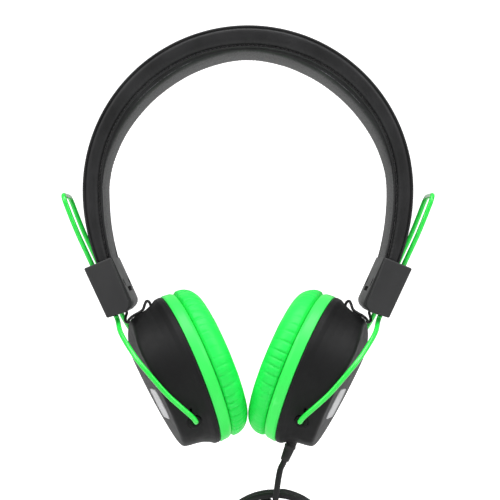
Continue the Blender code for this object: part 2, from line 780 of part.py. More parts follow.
def ear_cup(side, sign, axis):
    shell = cup_shell(side, sign, axis)
    pivot_bushes(side, sign, axis)
    badge(side, axis, shell)
    baffle(side, axis)
    cup_screws(side, axis)
    driver(side, axis)
    pad_ring(side, axis)
    front_cloth(side, axis)
    ear_pad(side, axis)
    link_cable(side, sign, axis)


# ---------------------------------------------------------------- cable, microphone pod and plug
def strain_relief(axis):
    bore = CABLE_RADIUS + GAP
    collar = RELIEF_RADIUS + 0.00025
    flange = RELIEF_RADIUS + 0.0007
    profile = [(bore, 0.0420), (0.0020, 0.0420), (RELIEF_RADIUS, 0.0364), (collar, 0.0356), (collar, 0.0346)]
    profile += [(RELIEF_RADIUS, 0.0345), (RELIEF_RADIUS, 0.0296), (flange, 0.0296)]
    profile += [(flange, 0.0286), (bore, 0.0286)]
    aim = at(0, 0, RELIEF_DEPTH) @ turn(math.radians(90), "Y")
    turned("cable_strain_relief", profile, axis, RUBBER, aim, 14, True)


def in_world(x, y, rise):
    return Vector((x, y, ARC_CENTRE_Z + rise))


def cable_upper(axis):
    to_cup = cup_frame(1).inverted()
    x, y, rise = POD_CENTRE
    pod_top = rise + POD_SIZE[2] / 2
    points = [Vector((0.0270, 0, RELIEF_DEPTH)), Vector((0.0340, 0, RELIEF_DEPTH))]
    points += [Vector((0.0425, 0, RELIEF_DEPTH))]
    points += [to_cup @ in_world(0.0145, -0.0017, -0.1265), to_cup @ in_world(0.0130, -0.0035, -0.1350)]
    points += [to_cup @ in_world(x, y, pod_top + 0.002), to_cup @ in_world(x, y, pod_top - 0.003)]
    tube("cable_upper", smooth_path(points), CABLE_RADIUS, axis, RUBBER)


def coil_point(angle):
    """A point on the coiled cable, with the angle in radians from its lowest point."""
    x, y, rise = COIL_CENTRE
    along = COIL_PITCH * angle / (2 * math.pi)
    return in_world(x + COIL_RADIUS * math.sin(angle), y + along, rise - COIL_RADIUS * math.cos(angle))


def cable_coil(axis):
    """The rest of the cable, wound into a flat coil, from the pod to the plug."""
    to_cup = cup_frame(1).inverted()
    x, y, rise = POD_CENTRE
    pod_bottom = rise - POD_SIZE[2] / 2
    lead_in = [
        in_world(x, y, pod_bottom + 0.003),
        in_world(x, y, pod_bottom - 0.002),
        in_world(x + 0.0012, y + 0.0015, pod_bottom - 0.0070),
        in_world(x + 0.0055, y + 0.0045, pod_bottom - 0.0115),
    ]
    start = 0.40
    stop = 2 * math.pi * COIL_TURNS - 3.3
    steps = 12 * COIL_TURNS
    winding = [coil_point(start + (stop - start) * i / steps) for i in range(steps + 1)]
    last_y = winding[-1].y
    lead_out = [
        in_world(x - 0.0115, last_y + 0.0008, COIL_CENTRE[2] + 0.0232),
        in_world(x - 0.0080, last_y + 0.0018, COIL_CENTRE[2] + 0.0205),
        in_world(x - 0.0030, last_y + 0.0022, PLUG_TOP + 0.0070),
        in_world(x, last_y + 0.0022, PLUG_TOP + 0.0010),
        in_world(x, last_y + 0.0022, PLUG_TOP - 0.0060),
    ]
    path = smooth_path([*lead_in, winding[0]], 3)[:-1] + winding + smooth_path([winding[-1], *lead_out], 3)[1:]
    tube("cable_coil", [to_cup @ p for p in path], CABLE_RADIUS, axis, RUBBER)
    return last_y + 0.0022


def cable_tie(level):
    """A strap round all the turns, on the coil's outer side."""
    x, y, rise = COIL_CENTRE
    depth = COIL_PITCH * COIL_TURNS
    reach = CABLE_RADIUS + 0.0013
    centre = in_world(x + COIL_RADIUS, y, rise)
    low = centre + Vector((-reach - 0.001, -reach - 0.001, -0.005))
    high = centre + Vector((reach + 0.001, depth + reach + 0.001, 0.005))
    strap = box("cable_tie", low, high, level, RUBBER, 0.0008)
    inside_low = centre + Vector((-reach, -reach, -0.01))
    inside_high = centre + Vector((reach, depth + reach, 0.01))
    boolean(strap, box("tie_opening", inside_low, inside_high, level, None))


def pod_shells(level):
    half_x, half_z = POD_SIZE[0] / 2, POD_SIZE[2] / 2
    half_y = POD_SIZE[1] / 2
    wall = 0.0011
    cable_hole = rod(
        "pod_cable_hole", CABLE_RADIUS + GAP, (0, 0, -0.03), (0, 0, 0.03), level, None, 16
    )
    cavity = box(
        "pod_cavity",
        (-half_x + wall, -half_y + wall, -half_z + wall),
        (half_x - wall, half_y - wall, half_z - wall),
        level,
        None,
    )
    shells = {}
    for label, way in (("front", -1), ("rear", 1)):
        name = "pod_" + label
        whole = box(
            name + "_shell", (-half_x, -half_y, -half_z), (half_x, half_y, half_z), level, CUP_PLASTIC, 0.0016
        )
        near, far = sorted((way * GAP / 2, -way * 0.02))
        other_half = box(name + "_other_half", (-0.02, near, -0.04), (0.02, far, 0.04), level, None)
        boolean(whole, other_half)
        boolean(whole, cavity)
        boolean(whole, cable_hole)
        shells[label] = whole
    return shells


BUTTON_SIZE = (0.0042, 0.0024, 0.0100)
BUTTON_RISE = 0.0020
CAPSULE_RISE = -0.0115


def microphone_pod(level, button_axis):
    shells = pod_shells(level)
    face = -POD_SIZE[1] / 2
    half_x, half_z = BUTTON_SIZE[0] / 2, BUTTON_SIZE[2] / 2
    window = box(
        "button_window",
        (-half_x - GAP, face - 0.002, BUTTON_RISE - half_z - GAP),
        (half_x + GAP, face + 0.002, BUTTON_RISE + half_z + GAP),
        level,
        None,
    )
    boolean(shells["front"], window)
    front, back = (0, face - 0.002, CAPSULE_RISE), (0, face + 0.002, CAPSULE_RISE)
    sound_hole = rod("sound_hole", 0.0006, front, back, level, None, 12)
    boolean(shells["front"], sound_hole)
    box(
        "pod_board",
        (-0.0031, 0.0019, -0.0120),
        (0.0031, 0.0027, 0.0120),
        level,
        BOARD,
    )
    capsule = [(0, 0.0022), (0.0020, 0.0022), (0.0020, 0), (0, 0)]
    aim = at(0, -0.0026, CAPSULE_RISE) @ turn(math.radians(-90), "X")
    turned("microphone_capsule", capsule, level, STEEL, aim, 16)
    box(
        "pod_button",
        (-half_x, 0, -half_z),
        (half_x, BUTTON_SIZE[1], half_z),
        button_axis,
        RUBBER,
        0.0005,
    )


def plug(level, y):
    """Strain relief, grip and four-pole pin, hanging below the end of the coiled cable."""
    top = in_world(POD_CENTRE[0], y, PLUG_TOP)
    bore = CABLE_RADIUS + GAP
    relief = [(bore, 0), (0.0022, 0), (0.0027, -0.0070), (0.0027, -0.0075), (bore, -0.0075)]
    turned("plug_strain_relief", relief, level, RUBBER, at(*top), 16, True)
    grip = [(0, -0.0080), (0.0034, -0.0080), (0.0040, -0.0090), (0.0040, -0.0200), (0.0034, -0.0218)]
    grip += [(0.0028, -0.0222), (0, -0.0222)]
    body = turned("plug_grip", grip, level, CUP_PLASTIC, at(*top), 16)
    socket = rod("plug_pin_socket", PIN_RADIUS + GAP, (0, 0, -0.0190), (0, 0, -0.03), body, None, 16)
    boolean(body, socket)
    pin = [(0, -0.0195), (PIN_RADIUS, -0.0195), (PIN_RADIUS, -0.0330), (0.0012, -0.0337)]
    pin += [(0.0016, -0.0347), (0.0008, -0.0362), (0, -0.0364)]
    turned("plug_pin", pin, level, BRASS, at(*top), 16)


# ---------------------------------------------------------------- assembly
def build():
    root = empty("headband_frame", Matrix())
    block_frames = {}
    for side, sign in SIDES.items():
        block_frames[side] = empty(side + "_block_frame", block_frame(sign), root)
        slider_block(side, block_frames[side])
    headband(root, block_frames)
    for side, sign in SIDES.items():
        hanger = empty(side + "_hanger_frame", Matrix(), block_frames[side])
        hanger_wire(side, sign, hanger)
        pivot = empty(
            side + "_cup_pivot", block_frame(sign).inverted() @ pivot_frame(sign), hanger
        )
        axis = empty(side + "_cup_axis", at(-PIVOT_DROP, 0, -PIVOT_DEPTH), pivot)
        ear_cup(side, sign, axis)
        if sign > 0:
            strain_relief(axis)
            cable_upper(axis)
            plug_y = cable_coil(axis)
            level = empty("cable_level", cup_frame(1).inverted(), axis)
            pod_level = empty("pod_frame", Matrix.Translation(in_world(*POD_CENTRE)), level)
            face = at(0, -POD_SIZE[1] / 2 - 0.0007, BUTTON_RISE)
            microphone_pod(pod_level, empty("button_axis", face, pod_level))
            cable_tie(level)
            plug(level, plug_y)


build()
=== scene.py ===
"""Looks of the wired on-ear headset: every visible surface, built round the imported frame.

Lengths are in metres. "rise" is a height above the centre of the headband's arc. Local frames:
block frame: X outward, Z up along the hanger's slide; cup frame: X down the cup, Z out of its back.
"""

import json
import math

import bmesh
import bpy
from mathutils import Matrix, Vector, noise


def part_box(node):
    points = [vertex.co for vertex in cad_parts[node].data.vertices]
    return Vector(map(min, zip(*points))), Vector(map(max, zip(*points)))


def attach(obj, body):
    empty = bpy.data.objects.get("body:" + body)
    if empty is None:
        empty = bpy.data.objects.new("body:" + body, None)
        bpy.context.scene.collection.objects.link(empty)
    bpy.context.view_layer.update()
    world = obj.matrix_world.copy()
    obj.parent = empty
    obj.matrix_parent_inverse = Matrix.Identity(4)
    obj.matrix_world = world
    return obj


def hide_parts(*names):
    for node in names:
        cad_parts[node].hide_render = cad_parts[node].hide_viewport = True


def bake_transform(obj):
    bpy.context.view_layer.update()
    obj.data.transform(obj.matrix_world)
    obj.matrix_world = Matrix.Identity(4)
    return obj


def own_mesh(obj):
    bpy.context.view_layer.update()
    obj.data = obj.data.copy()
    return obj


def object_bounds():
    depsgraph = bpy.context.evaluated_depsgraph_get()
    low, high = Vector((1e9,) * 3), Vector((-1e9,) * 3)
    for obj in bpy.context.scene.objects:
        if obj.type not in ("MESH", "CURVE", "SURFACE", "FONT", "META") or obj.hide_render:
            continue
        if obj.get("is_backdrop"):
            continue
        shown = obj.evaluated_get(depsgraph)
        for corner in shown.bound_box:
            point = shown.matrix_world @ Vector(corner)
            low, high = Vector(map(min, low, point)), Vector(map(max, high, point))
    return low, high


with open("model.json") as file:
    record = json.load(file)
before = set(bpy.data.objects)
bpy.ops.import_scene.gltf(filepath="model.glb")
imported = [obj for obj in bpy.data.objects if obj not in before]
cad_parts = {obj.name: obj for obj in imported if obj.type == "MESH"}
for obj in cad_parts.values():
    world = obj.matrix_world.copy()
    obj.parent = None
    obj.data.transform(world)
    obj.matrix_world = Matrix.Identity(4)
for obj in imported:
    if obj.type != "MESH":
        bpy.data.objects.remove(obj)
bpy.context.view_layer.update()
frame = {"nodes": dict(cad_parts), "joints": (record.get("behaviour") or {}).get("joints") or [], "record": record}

# ---- sizes
SIDES = {"left": 1, "right": -1}
GAP = 0.0003

BAND_HALF_DEPTH = 0.0165
# A line of the band: half width, height, inward sweep below the arc's centre, power of its arc.
BAND_OUTER = (0.0735, 0.0733, 5.9, 1.0)
BAND_SEAM = (0.0658, 0.0642, 4.6, 1.0)
BAND_INNER = (0.0645, 0.0615, 4.0, 1.087)
BAND_END = -0.0345
STITCH_PITCH = 0.0019

BLOCK_CENTRE = (0.0658, -0.04255)
BLOCK_DEPTH = 0.0365
BLOCK_OUTER_FACE = 0.0027
BLOCK_SPLIT = -0.0062
BLOCK_INNER_FACE = -0.0104
# The block's top and bottom, at its outer face, at the lips and at its inner face.
BLOCK_TOP = (0.00995, 0.0094, 0.0091)
BLOCK_BOTTOM = (-0.0142, -0.0153, -0.0149)
BLOCK_CORNER = 0.0040
LIP_EDGE = -0.0092
LIP_DEPTH = 0.0015
SOCKET_INNER = -0.0100
SOCKET_OUTER = -0.0025
SOCKET_FLOOR = 0.0027
SCREW_SEAT = -0.0085
SCREW_SPREAD = 0.012
SCREW_RISE = -0.003
BEYOND = 0.02  # past a block on any side, for its cutters

WIRE_RADIUS = 0.0011
WIRE_X = -0.0008
WIRE_HALF_SPREAD = 0.0125
GUIDE_END = -0.0150
CROWN_HEIGHT = 0.0450
CROWN_LEAN_START = 0.023
CROWN_LEAN_IN = -0.0013
CROWN_CORNER = 0.0045

CUP_DEPTH = 0.0187
CUP_WALL = 0.002
CUP_WEDGE = 0.08
CUP_BROW_START = 0.012
CUP_BROW_DROP = 0.0075
PIVOT_DROP = 0.0201
PIVOT_DEPTH = 0.0092
BUSH_RADIUS = 0.0029
BUSH_INNER = 0.0205
BUSH_OUTER = 0.0263

RING_RADIUS = 0.0355
RING_HOLE = 0.0265
RING_THICKNESS = 0.0055
PAD_RADIUS = 0.0352
PAD_HOLE = 0.0150
PAD_FACE = 0.0161
PAD_CREASES = 52
BADGE_SIZE = (0.0146, 0.026)
BADGE_DROP = 0.0091
BADGE_CORNER = 0.0045
BADGE_SINK = 0.0009

CABLE_RADIUS = 0.0014
LINK_RADIUS = 0.00065
LINK_HOLE_X = -0.0046
LINK_INLET = (0.0045, 0.0048)
RELIEF_DEPTH = 0.0060
RELIEF_RADIUS = 0.0024
COIL_RADIUS = 0.028
COIL_TURNS = 4
COIL_PITCH = 0.0034
COIL_CENTRE = (0.012, 0.002, -0.1665)
POD_SIZE = (0.0090, 0.0080, 0.0340)
POD_CENTRE = (0.012, -0.0045, -0.1625)
POD_WALL = 0.0011
BUTTON_RISE = 0.0020
PLUG_TOP = -0.1500
PIN_RADIUS = 0.00175
FLOOR_DROP = 0.016  # room for the hanging cable when the left slider is out

ARC_CENTRE_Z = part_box("headband_cover")[1].z - BAND_OUTER[1]
JOINTS = {joint["name"]: joint for joint in frame["joints"]}
MOUNTS = {mount["name"]: mount for mount in frame["record"]["mounts"]}


def at(x, y, z):
    return Matrix.Translation((x, y, z))


def turn(degrees, axis):
    return Matrix.Rotation(math.radians(degrees), 4, axis)


def axes_matrix(x_axis, y_axis, z_axis, origin):
    made = Matrix((x_axis, y_axis, z_axis)).transposed().to_4x4()
    made.translation = origin
    return made


def block_frame(side):
    sign = SIDES[side]
    up = -Vector(JOINTS[side + "_slider"]["axis"])
    across = Vector((0, sign, 0))
    origin = (sign * BLOCK_CENTRE[0], 0, ARC_CENTRE_Z + BLOCK_CENTRE[1])
    return axes_matrix(across.cross(up), across, up, origin)


def cup_frame(side):
    joint = JOINTS[side + "_cup_tilt"]
    across = -Vector(joint["axis"])
    face = Vector(MOUNTS[side + "_cup_back"]["axis"])
    outward = Matrix.Rotation(-math.atan(CUP_WEDGE), 3, across) @ face
    pivot = axes_matrix(across.cross(outward), across, outward, joint["pos_m"])
    return pivot @ at(-PIVOT_DROP, 0, -PIVOT_DEPTH)


def in_world(x, y, rise):
    return Vector((x, y, ARC_CENTRE_Z + rise))


# ---- mesh helpers
def linked(name, data):
    made = bpy.data.objects.new(name, data)
    bpy.context.scene.collection.objects.link(made)
    return made


def baked(name, shape):
    """Turns a bmesh into a mesh and frees it."""
    mesh = bpy.data.meshes.new(name)
    shape.to_mesh(mesh)
    shape.free()
    return mesh


def add_piece(mesh, body, material, replaces, sharp=35):
    mesh.shade_smooth()
    if sharp:
        mesh.set_sharp_from_angle(angle=math.radians(sharp))
    mesh.materials.clear()
    mesh.materials.append(material)
    piece = linked(mesh.name, mesh)
    if body:
        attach(piece, body)
    if replaces:
        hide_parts(*replaces)
    return piece


def mesh_from_rings(name, rings, close_path=False, place=None):
    """A skin over rings of points. Open ends are capped, unless a ring has shrunk to a point."""
    shape = bmesh.new()
    rows = [[shape.verts.new(p) for p in ring] for ring in rings]
    count = len(rows[0])
    pairs = list(zip(rows, rows[1:]))
    if close_path:
        pairs.append((rows[-1], rows[0]))
    for row, following in pairs:
        for i in range(count):
            j = (i + 1) % count
            shape.faces.new((row[i], row[j], following[j], following[i]))
    if not close_path:
        for row in (rows[0], rows[-1]):
            if (row[0].co - row[count // 2].co).length > 1e-7:
                shape.faces.new(row)
    bmesh.ops.remove_doubles(shape, verts=shape.verts, dist=1e-7)
    bmesh.ops.recalc_face_normals(shape, faces=shape.faces)
    mesh = baked(name, shape)
    if place:
        mesh.transform(place)
    return mesh


def fillet(points, steps=4):
    """Rounds the corners of an open outline. A point is (x, z) or (x, z, radius)."""
    smooth = [Vector(points[0][:2])]
    for before, corner, after in zip(points, points[1:], points[2:]):
        here = Vector(corner[:2])
        if len(corner) < 3:
            smooth.append(here)
            continue
        back = Vector(before[:2]) - here
        on = Vector(after[:2]) - here
        half = back.angle(on) / 2
        reach = min(corner[2] / math.tan(half), 0.49 * back.length, 0.49 * on.length)
        start = here + back.normalized() * reach
        end = here + on.normalized() * reach
        for i in range(steps + 1):
            t = i / steps
            smooth.append(start * (1 - t) ** 2 + here * 2 * t * (1 - t) + end * t**2)
    smooth.append(Vector(points[-1][:2]))
    return [tuple(p) for p in smooth]


def turned_mesh(name, profile, place, steps=96, closed=False, shape=None):
    """A turned solid about local Z. shape(angle, radius, height) may move a point."""
    rings = []
    for radius, height in profile:
        ring = []
        for i in range(steps):
            angle = 2 * math.pi * i / steps
            r, z = shape(angle, radius, height) if shape and radius > 1e-6 else (radius, height)
            ring.append((r * math.cos(angle), r * math.sin(angle), z))
        rings.append(ring)
    return mesh_from_rings(name, rings, closed, place)


def smooth_path(points, per_span=10):
    """Points along a Catmull-Rom curve through the given ones."""
    points = [Vector(p) for p in points]
    padded = [2 * points[0] - points[1], *points, 2 * points[-1] - points[-2]]
    path = []
    for before, start, end, after in zip(padded, padded[1:], padded[2:], padded[3:]):
        for step in range(per_span):
            t = step / per_span
            square = (2 * before - 5 * start + 4 * end - after) * t**2
            cube = (3 * start - before - 3 * end + after) * t**3
            path.append(0.5 * (2 * start + (end - before) * t + square + cube))
    return path + [points[-1]]


def split_span(first, second, count):
    """Flat points at even steps from the first up to, but not including, the second."""
    steps = [i / count for i in range(count)]
    return [(first[0] + (second[0] - first[0]) * t, first[1] + (second[1] - first[1]) * t) for t in steps]


def arc(centre, radius, start, end, steps):
    angles = [math.radians(start + (end - start) * i / steps) for i in range(steps + 1)]
    return [(centre[0] + radius * math.cos(a), centre[1] + radius * math.sin(a)) for a in angles]


def rounded_outline(half_x, half_y, corner, steps=10):
    """A rectangle with round corners, as flat points."""
    points = []
    for x, y, start in ((1, 1, 0), (-1, 1, 90), (-1, -1, 180), (1, -1, 270)):
        points += arc((x * (half_x - corner), y * (half_y - corner)), corner, start, start + 90, steps)
    return points


def path_frames(path):
    """Pairs of directions across a path, as (normal, binormal), that turn as little as possible."""
    frames = []
    normal = None
    for i in range(len(path)):
        tangent = (path[min(i + 1, len(path) - 1)] - path[max(i - 1, 0)]).normalized()
        if normal is None:
            normal = tangent.orthogonal().normalized()
        normal = (normal - tangent * normal.dot(tangent)).normalized()
        frames.append((normal, tangent.cross(normal)))
    return frames


def tube_mesh(name, path, radius, sides=20, narrow_ends=True):
    """A wire along a path. Its first and last rings are a little narrower, unless told otherwise."""
    path = [Vector(p) for p in path]
    rings = []
    last = len(path) - 1
    for i, (point, (normal, binormal)) in enumerate(zip(path, path_frames(path))):
        size = radius * 0.86 if narrow_ends and i in (0, last) else radius
        ring = []
        for k in range(sides):
            angle = 2 * math.pi * k / sides
            ring.append(point + (normal * math.cos(angle) + binormal * math.sin(angle)) * size)
        rings.append(ring)
    return mesh_from_rings(name, rings)


def prism_mesh(name, outline, depth, bevel=0.0, segments=4):
    """An (x, z) outline made as thick as depth along local Y. Edges over 60 degrees get the bevel."""
    shape = bmesh.new()
    front = [shape.verts.new((x, -depth / 2, z)) for x, z in outline]
    face = shape.faces.new(front)
    made = bmesh.ops.extrude_face_region(shape, geom=[face])["geom"]
    moved = [v for v in made if isinstance(v, bmesh.types.BMVert)]
    bmesh.ops.translate(shape, vec=(0, depth, 0), verts=moved)
    bmesh.ops.recalc_face_normals(shape, faces=shape.faces)
    if bevel:
        rims = [e for e in shape.edges if e.calc_face_angle(0) > math.radians(60)]
        rounding = {"offset": bevel, "segments": segments, "profile": 0.5, "clamp_overlap": True}
        bmesh.ops.bevel(shape, geom=rims, affect="EDGES", **rounding)
    return baked(name, shape)


def box_mesh(name, low, high, bevel=0.0, segments=4):
    outline = [(low[0], low[2]), (high[0], low[2]), (high[0], high[2]), (low[0], high[2])]
    mesh = prism_mesh(name, outline, high[1] - low[1], bevel, segments)
    mesh.transform(at(0, (low[1] + high[1]) / 2, 0))
    return mesh


def rod_mesh(name, radius, start, end, sides=32):
    return tube_mesh(name, [start, end], radius, sides, False)


def cut(mesh, cutters, operation="DIFFERENCE"):
    """A copy of the mesh with each cutter taken out, or added with UNION, in order."""
    body = linked("cut_body", mesh)
    tools = []
    for cutter in cutters:
        tool = linked("cut_tool", cutter)
        tools.append(tool)
        step = body.modifiers.new("cut", "BOOLEAN")
        step.operation = operation
        step.object = tool
    bpy.context.view_layer.update()
    evaluated = body.evaluated_get(bpy.context.evaluated_depsgraph_get())
    result = bpy.data.meshes.new_from_object(evaluated)
    for made in [body, *tools]:
        bpy.data.objects.remove(made, do_unlink=True)
    result.name = mesh.name
    return result


def joined(name, meshes):
    shape = bmesh.new()
    for mesh in meshes:
        shape.from_mesh(mesh)
    return baked(name, shape)


# ---- materials
class Finish:
    """A procedural material under construction, with its texture coordinates in metres."""

    def __init__(self, name, color, roughness, **inputs):
        self.material = bpy.data.materials.new(name)
        self.material.use_nodes = True
        self.nodes = self.material.node_tree.nodes
        self.links = self.material.node_tree.links
        self.shader = self.nodes["Principled BSDF"]
        self.place = self.add("TexCoord").outputs["Object"]
        self.set("Base Color", (*color, 1.0))
        self.set("Roughness", roughness)
        for key, value in inputs.items():
            self.set(key.replace("_", " "), value)

    def feed(self, socket, value):
        """Gives a socket a plain value or another node's output."""
        if isinstance(value, bpy.types.NodeSocket):
            self.links.new(value, socket)
        else:
            socket.default_value = value

    def set(self, name, value):
        self.feed(self.shader.inputs[name], value)

    def add(self, kind, **inputs):
        node = self.nodes.new("ShaderNode" + kind)
        for name, value in inputs.items():
            self.feed(node.inputs[name], value)
        return node

    def noise(self, scale, detail=3.0, place=None):
        return self.add("TexNoise", Scale=scale, Detail=detail, Vector=place or self.place).outputs["Fac"]

    def cells(self, scale, feature="F1"):
        node = self.add("TexVoronoi", Scale=scale, Vector=self.place)
        node.feature = feature
        return node.outputs["Distance"]

    def remap(self, value, low, high, new_low, new_high):
        ends = {"From Min": low, "From Max": high, "To Min": new_low, "To Max": new_high}
        return self.add("MapRange", Value=value, **ends).outputs["Result"]

    def math(self, operation, a, b):
        node = self.nodes.new("ShaderNodeMath")
        node.operation = operation
        for socket, value in zip(node.inputs, (a, b)):
            self.feed(socket, value)
        return node.outputs["Value"]

    def blend(self, share, first, second):
        """Mixes two colours, which are a Mix node's inputs 6 and 7 and its output 2."""
        node = self.nodes.new("ShaderNodeMix")
        node.data_type = "RGBA"
        self.links.new(share, node.inputs["Factor"])
        for index, value in ((6, first), (7, second)):
            self.feed(node.inputs[index], (*value, 1.0) if isinstance(value, tuple) else value)
        return node.outputs[2]

    def edges(self):
        """1 on convex edges, 0 elsewhere: the mask for the painted edge highlights."""
        pointiness = self.add("NewGeometry").outputs["Pointiness"]
        return self.remap(pointiness, 0.52, 0.60, 0.0, 1.0)

    def bump(self, height, distance, strength=1.0, after=None):
        node = self.add("Bump", Distance=distance, Strength=strength, Height=height)
        if after:
            self.links.new(after, node.inputs["Normal"])
        self.set("Normal", node.outputs["Normal"])
        return node.outputs["Normal"]


def leather(name, base, light, roughness, grain=1500, depth=0.00005):
    """Leatherette: rounded pebbles parted by fine creases, with broad tone changes and painted highlights on its
    convex edges.
    """
    finish = Finish(name, base, roughness, Specular_IOR_Level=0.3)
    broad = finish.remap(finish.noise(60, 4), 0.35, 0.7, 0.0, 1.0)
    tone = finish.blend(broad, base, tuple(0.6 * b + 0.4 * w for b, w in zip(base, light)))
    # Convex edges are blended 35 % towards the lighter colour: painted highlights on the edges.
    finish.set("Base Color", finish.blend(finish.math("MULTIPLY", finish.edges(), 0.35), tone, light))
    pebbles = finish.cells(grain, "SMOOTH_F1")
    creases = finish.cells(grain * 0.42, "DISTANCE_TO_EDGE")
    finish.set("Roughness", finish.remap(pebbles, 0.1, 0.8, roughness - 0.08, roughness + 0.1))
    first = finish.bump(finish.remap(creases, 0.0, 0.12, 0.0, 1.0), depth * 0.5, 0.5)
    finish.bump(finish.math("SUBTRACT", 1.0, pebbles), depth, 0.8, first)
    return finish.material


def plastic(name, base, light, roughness, grain=3500, depth=0.00001, specular=0.32, **inputs):
    """Moulded plastic with a fine spark texture, slight tone changes and painted highlights on its convex edges.
    """
    finish = Finish(name, base, roughness, Specular_IOR_Level=specular, **inputs)
    broad = finish.remap(finish.noise(45, 3), 0.3, 0.7, 0.0, 1.0)
    tone = finish.blend(broad, base, tuple(0.8 * b + 0.2 * w for b, w in zip(base, light)))
    # Convex edges are blended halfway towards the lighter colour: painted highlights on the edges.
    finish.set("Base Color", finish.blend(finish.math("MULTIPLY", finish.edges(), 0.5), tone, light))
    finish.set("Roughness", finish.remap(finish.noise(260, 4), 0.3, 0.7, roughness - 0.05, roughness + 0.06))
    finish.bump(finish.noise(grain, 2), depth)
    return finish.material


def metal(name, base, roughness):
    """Bare metal with fine brushing."""
    finish = Finish(name, base, roughness, Metallic=1.0)
    stretched = finish.add("Mapping", Scale=(9000, 400, 9000), Vector=finish.place).outputs["Vector"]
    lines = finish.noise(1.0, 3, stretched)
    finish.set("Roughness", finish.remap(lines, 0.3, 0.7, roughness - 0.08, roughness + 0.12))
    finish.bump(lines, 0.000004)
    return finish.material


def cloth(name, base, light, thread=0.00045):
    """Plain woven cloth: two crossed sets of threads."""
    finish = Finish(name, base, 0.92, Sheen_Weight=0.3)
    waves = []
    for direction in ("X", "Y"):
        node = finish.add("TexWave", Scale=0.314 / thread, Vector=finish.place)
        node.bands_direction = direction
        waves.append(node.outputs["Fac"])
    weave = finish.math("MULTIPLY", waves[0], waves[1])
    finish.set("Base Color", finish.blend(weave, base, light))
    finish.bump(weave, 0.0001)
    return finish.material


def foam(name, base):
    finish = Finish(name, base, 0.97)
    pores = finish.cells(1800)
    # Pore centres are painted darker: painted shade in the pores.
    finish.set("Base Color", finish.blend(pores, tuple(0.5 * c for c in base), base))
    finish.bump(pores, 0.0002)
    return finish.material


def membrane_film():
    finish = Finish("membrane_film", (0.62, 0.62, 0.58), 0.25)
    finish.bump(finish.noise(500, 2), 0.00001)
    return finish.material


def circuit_board():
    finish = Finish("circuit_board", (0.02, 0.16, 0.06), 0.45)
    tracks = finish.remap(finish.cells(900, "DISTANCE_TO_EDGE"), 0.02, 0.06, 1.0, 0.0)
    finish.set("Base Color", finish.blend(tracks, (0.02, 0.16, 0.06), (0.10, 0.38, 0.14)))
    return finish.material


# In leather and plastic finishes the second colour gives the broad lighter tone and the painted highlights on
# convex edges.
LEATHERETTE = leather("black_leatherette", (0.008, 0.008, 0.0084), (0.034, 0.034, 0.036), 0.46)
CUSHION_GREEN = leather(
    "green_cushion_leather", (0.009, 0.76, 0.078), (0.04, 0.90, 0.14), 0.45, grain=1700, depth=0.00003
)
THREAD = cloth("black_thread", (0.004, 0.004, 0.004), (0.02, 0.02, 0.02), 0.0002)
BLOCK_PLASTIC = plastic("block_grey_plastic", (0.022, 0.022, 0.023), (0.06, 0.06, 0.06), 0.48)
CUP_PLASTIC = plastic(
    "cup_black_plastic", (0.006, 0.006, 0.0063), (0.022, 0.022, 0.023), 0.54, specular=0.18
)
RING_GREEN = plastic("ring_green_plastic", (0.034, 0.84, 0.100), (0.13, 0.96, 0.22), 0.40)
WIRE_GREEN = plastic(
    "wire_green_coating", (0.011, 0.74, 0.055), (0.08, 0.9, 0.15), 0.22, 900, 0.000006, Coat_Weight=0.5
)
BADGE_SILVER = plastic("badge_silver_plastic", (0.44, 0.44, 0.45), (0.6, 0.6, 0.61), 0.34)
RUBBER = plastic("black_rubber", (0.010, 0.010, 0.0105), (0.04, 0.04, 0.04), 0.52, 2600, 0.000012)
STEEL = metal("brushed_steel", (0.55, 0.56, 0.58), 0.34)
BLACK_STEEL = metal("blackened_steel", (0.06, 0.06, 0.065), 0.4)
GOLD = metal("plated_gold", (0.83, 0.66, 0.33), 0.22)
BLACK_CLOTH = cloth("front_cloth_weave", (0.006, 0.006, 0.006), (0.04, 0.04, 0.04))
FOAM = foam("grey_foam", (0.16, 0.16, 0.17))
MEMBRANE = membrane_film()
BOARD = circuit_board()


# ---- headband
def band_point(line, rise=None, angle=None):
    """A point on one of the band's lines: by rise below the arc's centre, or by angle above it."""
    half_width, height, sweep, power = line
    if angle is None:
        return Vector((half_width - sweep * rise**2, 0, rise))
    x, z = math.cos(angle), math.sin(angle)
    return Vector((half_width * math.copysign(abs(x) ** power, x), 0, height * abs(z) ** power))


def band_stations(spacing):
    """The band's outer, seam and inner points at even steps from its left end to its right end."""
    lines = (BAND_OUTER, BAND_SEAM, BAND_INNER)
    low = [[band_point(line, rise=BAND_END * (1 - i / 60)) for line in lines] for i in range(60)]
    over = [[band_point(line, angle=math.pi * i / 400) for line in lines] for i in range(401)]
    mirrored = [[Vector((-p.x, 0, p.z)) for p in row] for row in reversed(low)]
    rows = low + over + mirrored
    lengths = [0.0]
    for row, following in zip(rows, rows[1:]):
        lengths.append(lengths[-1] + (following[1] - row[1]).length)
    count = round(lengths[-1] / spacing)
    stations, k = [], 0
    for i in range(count + 1):
        along = lengths[-1] * i / count
        while k < len(lengths) - 2 and lengths[k + 1] < along:
            k += 1
        t = (along - lengths[k]) / (lengths[k + 1] - lengths[k])
        stations.append([a.lerp(b, t) for a, b in zip(rows[k], rows[k + 1])])
    return stations


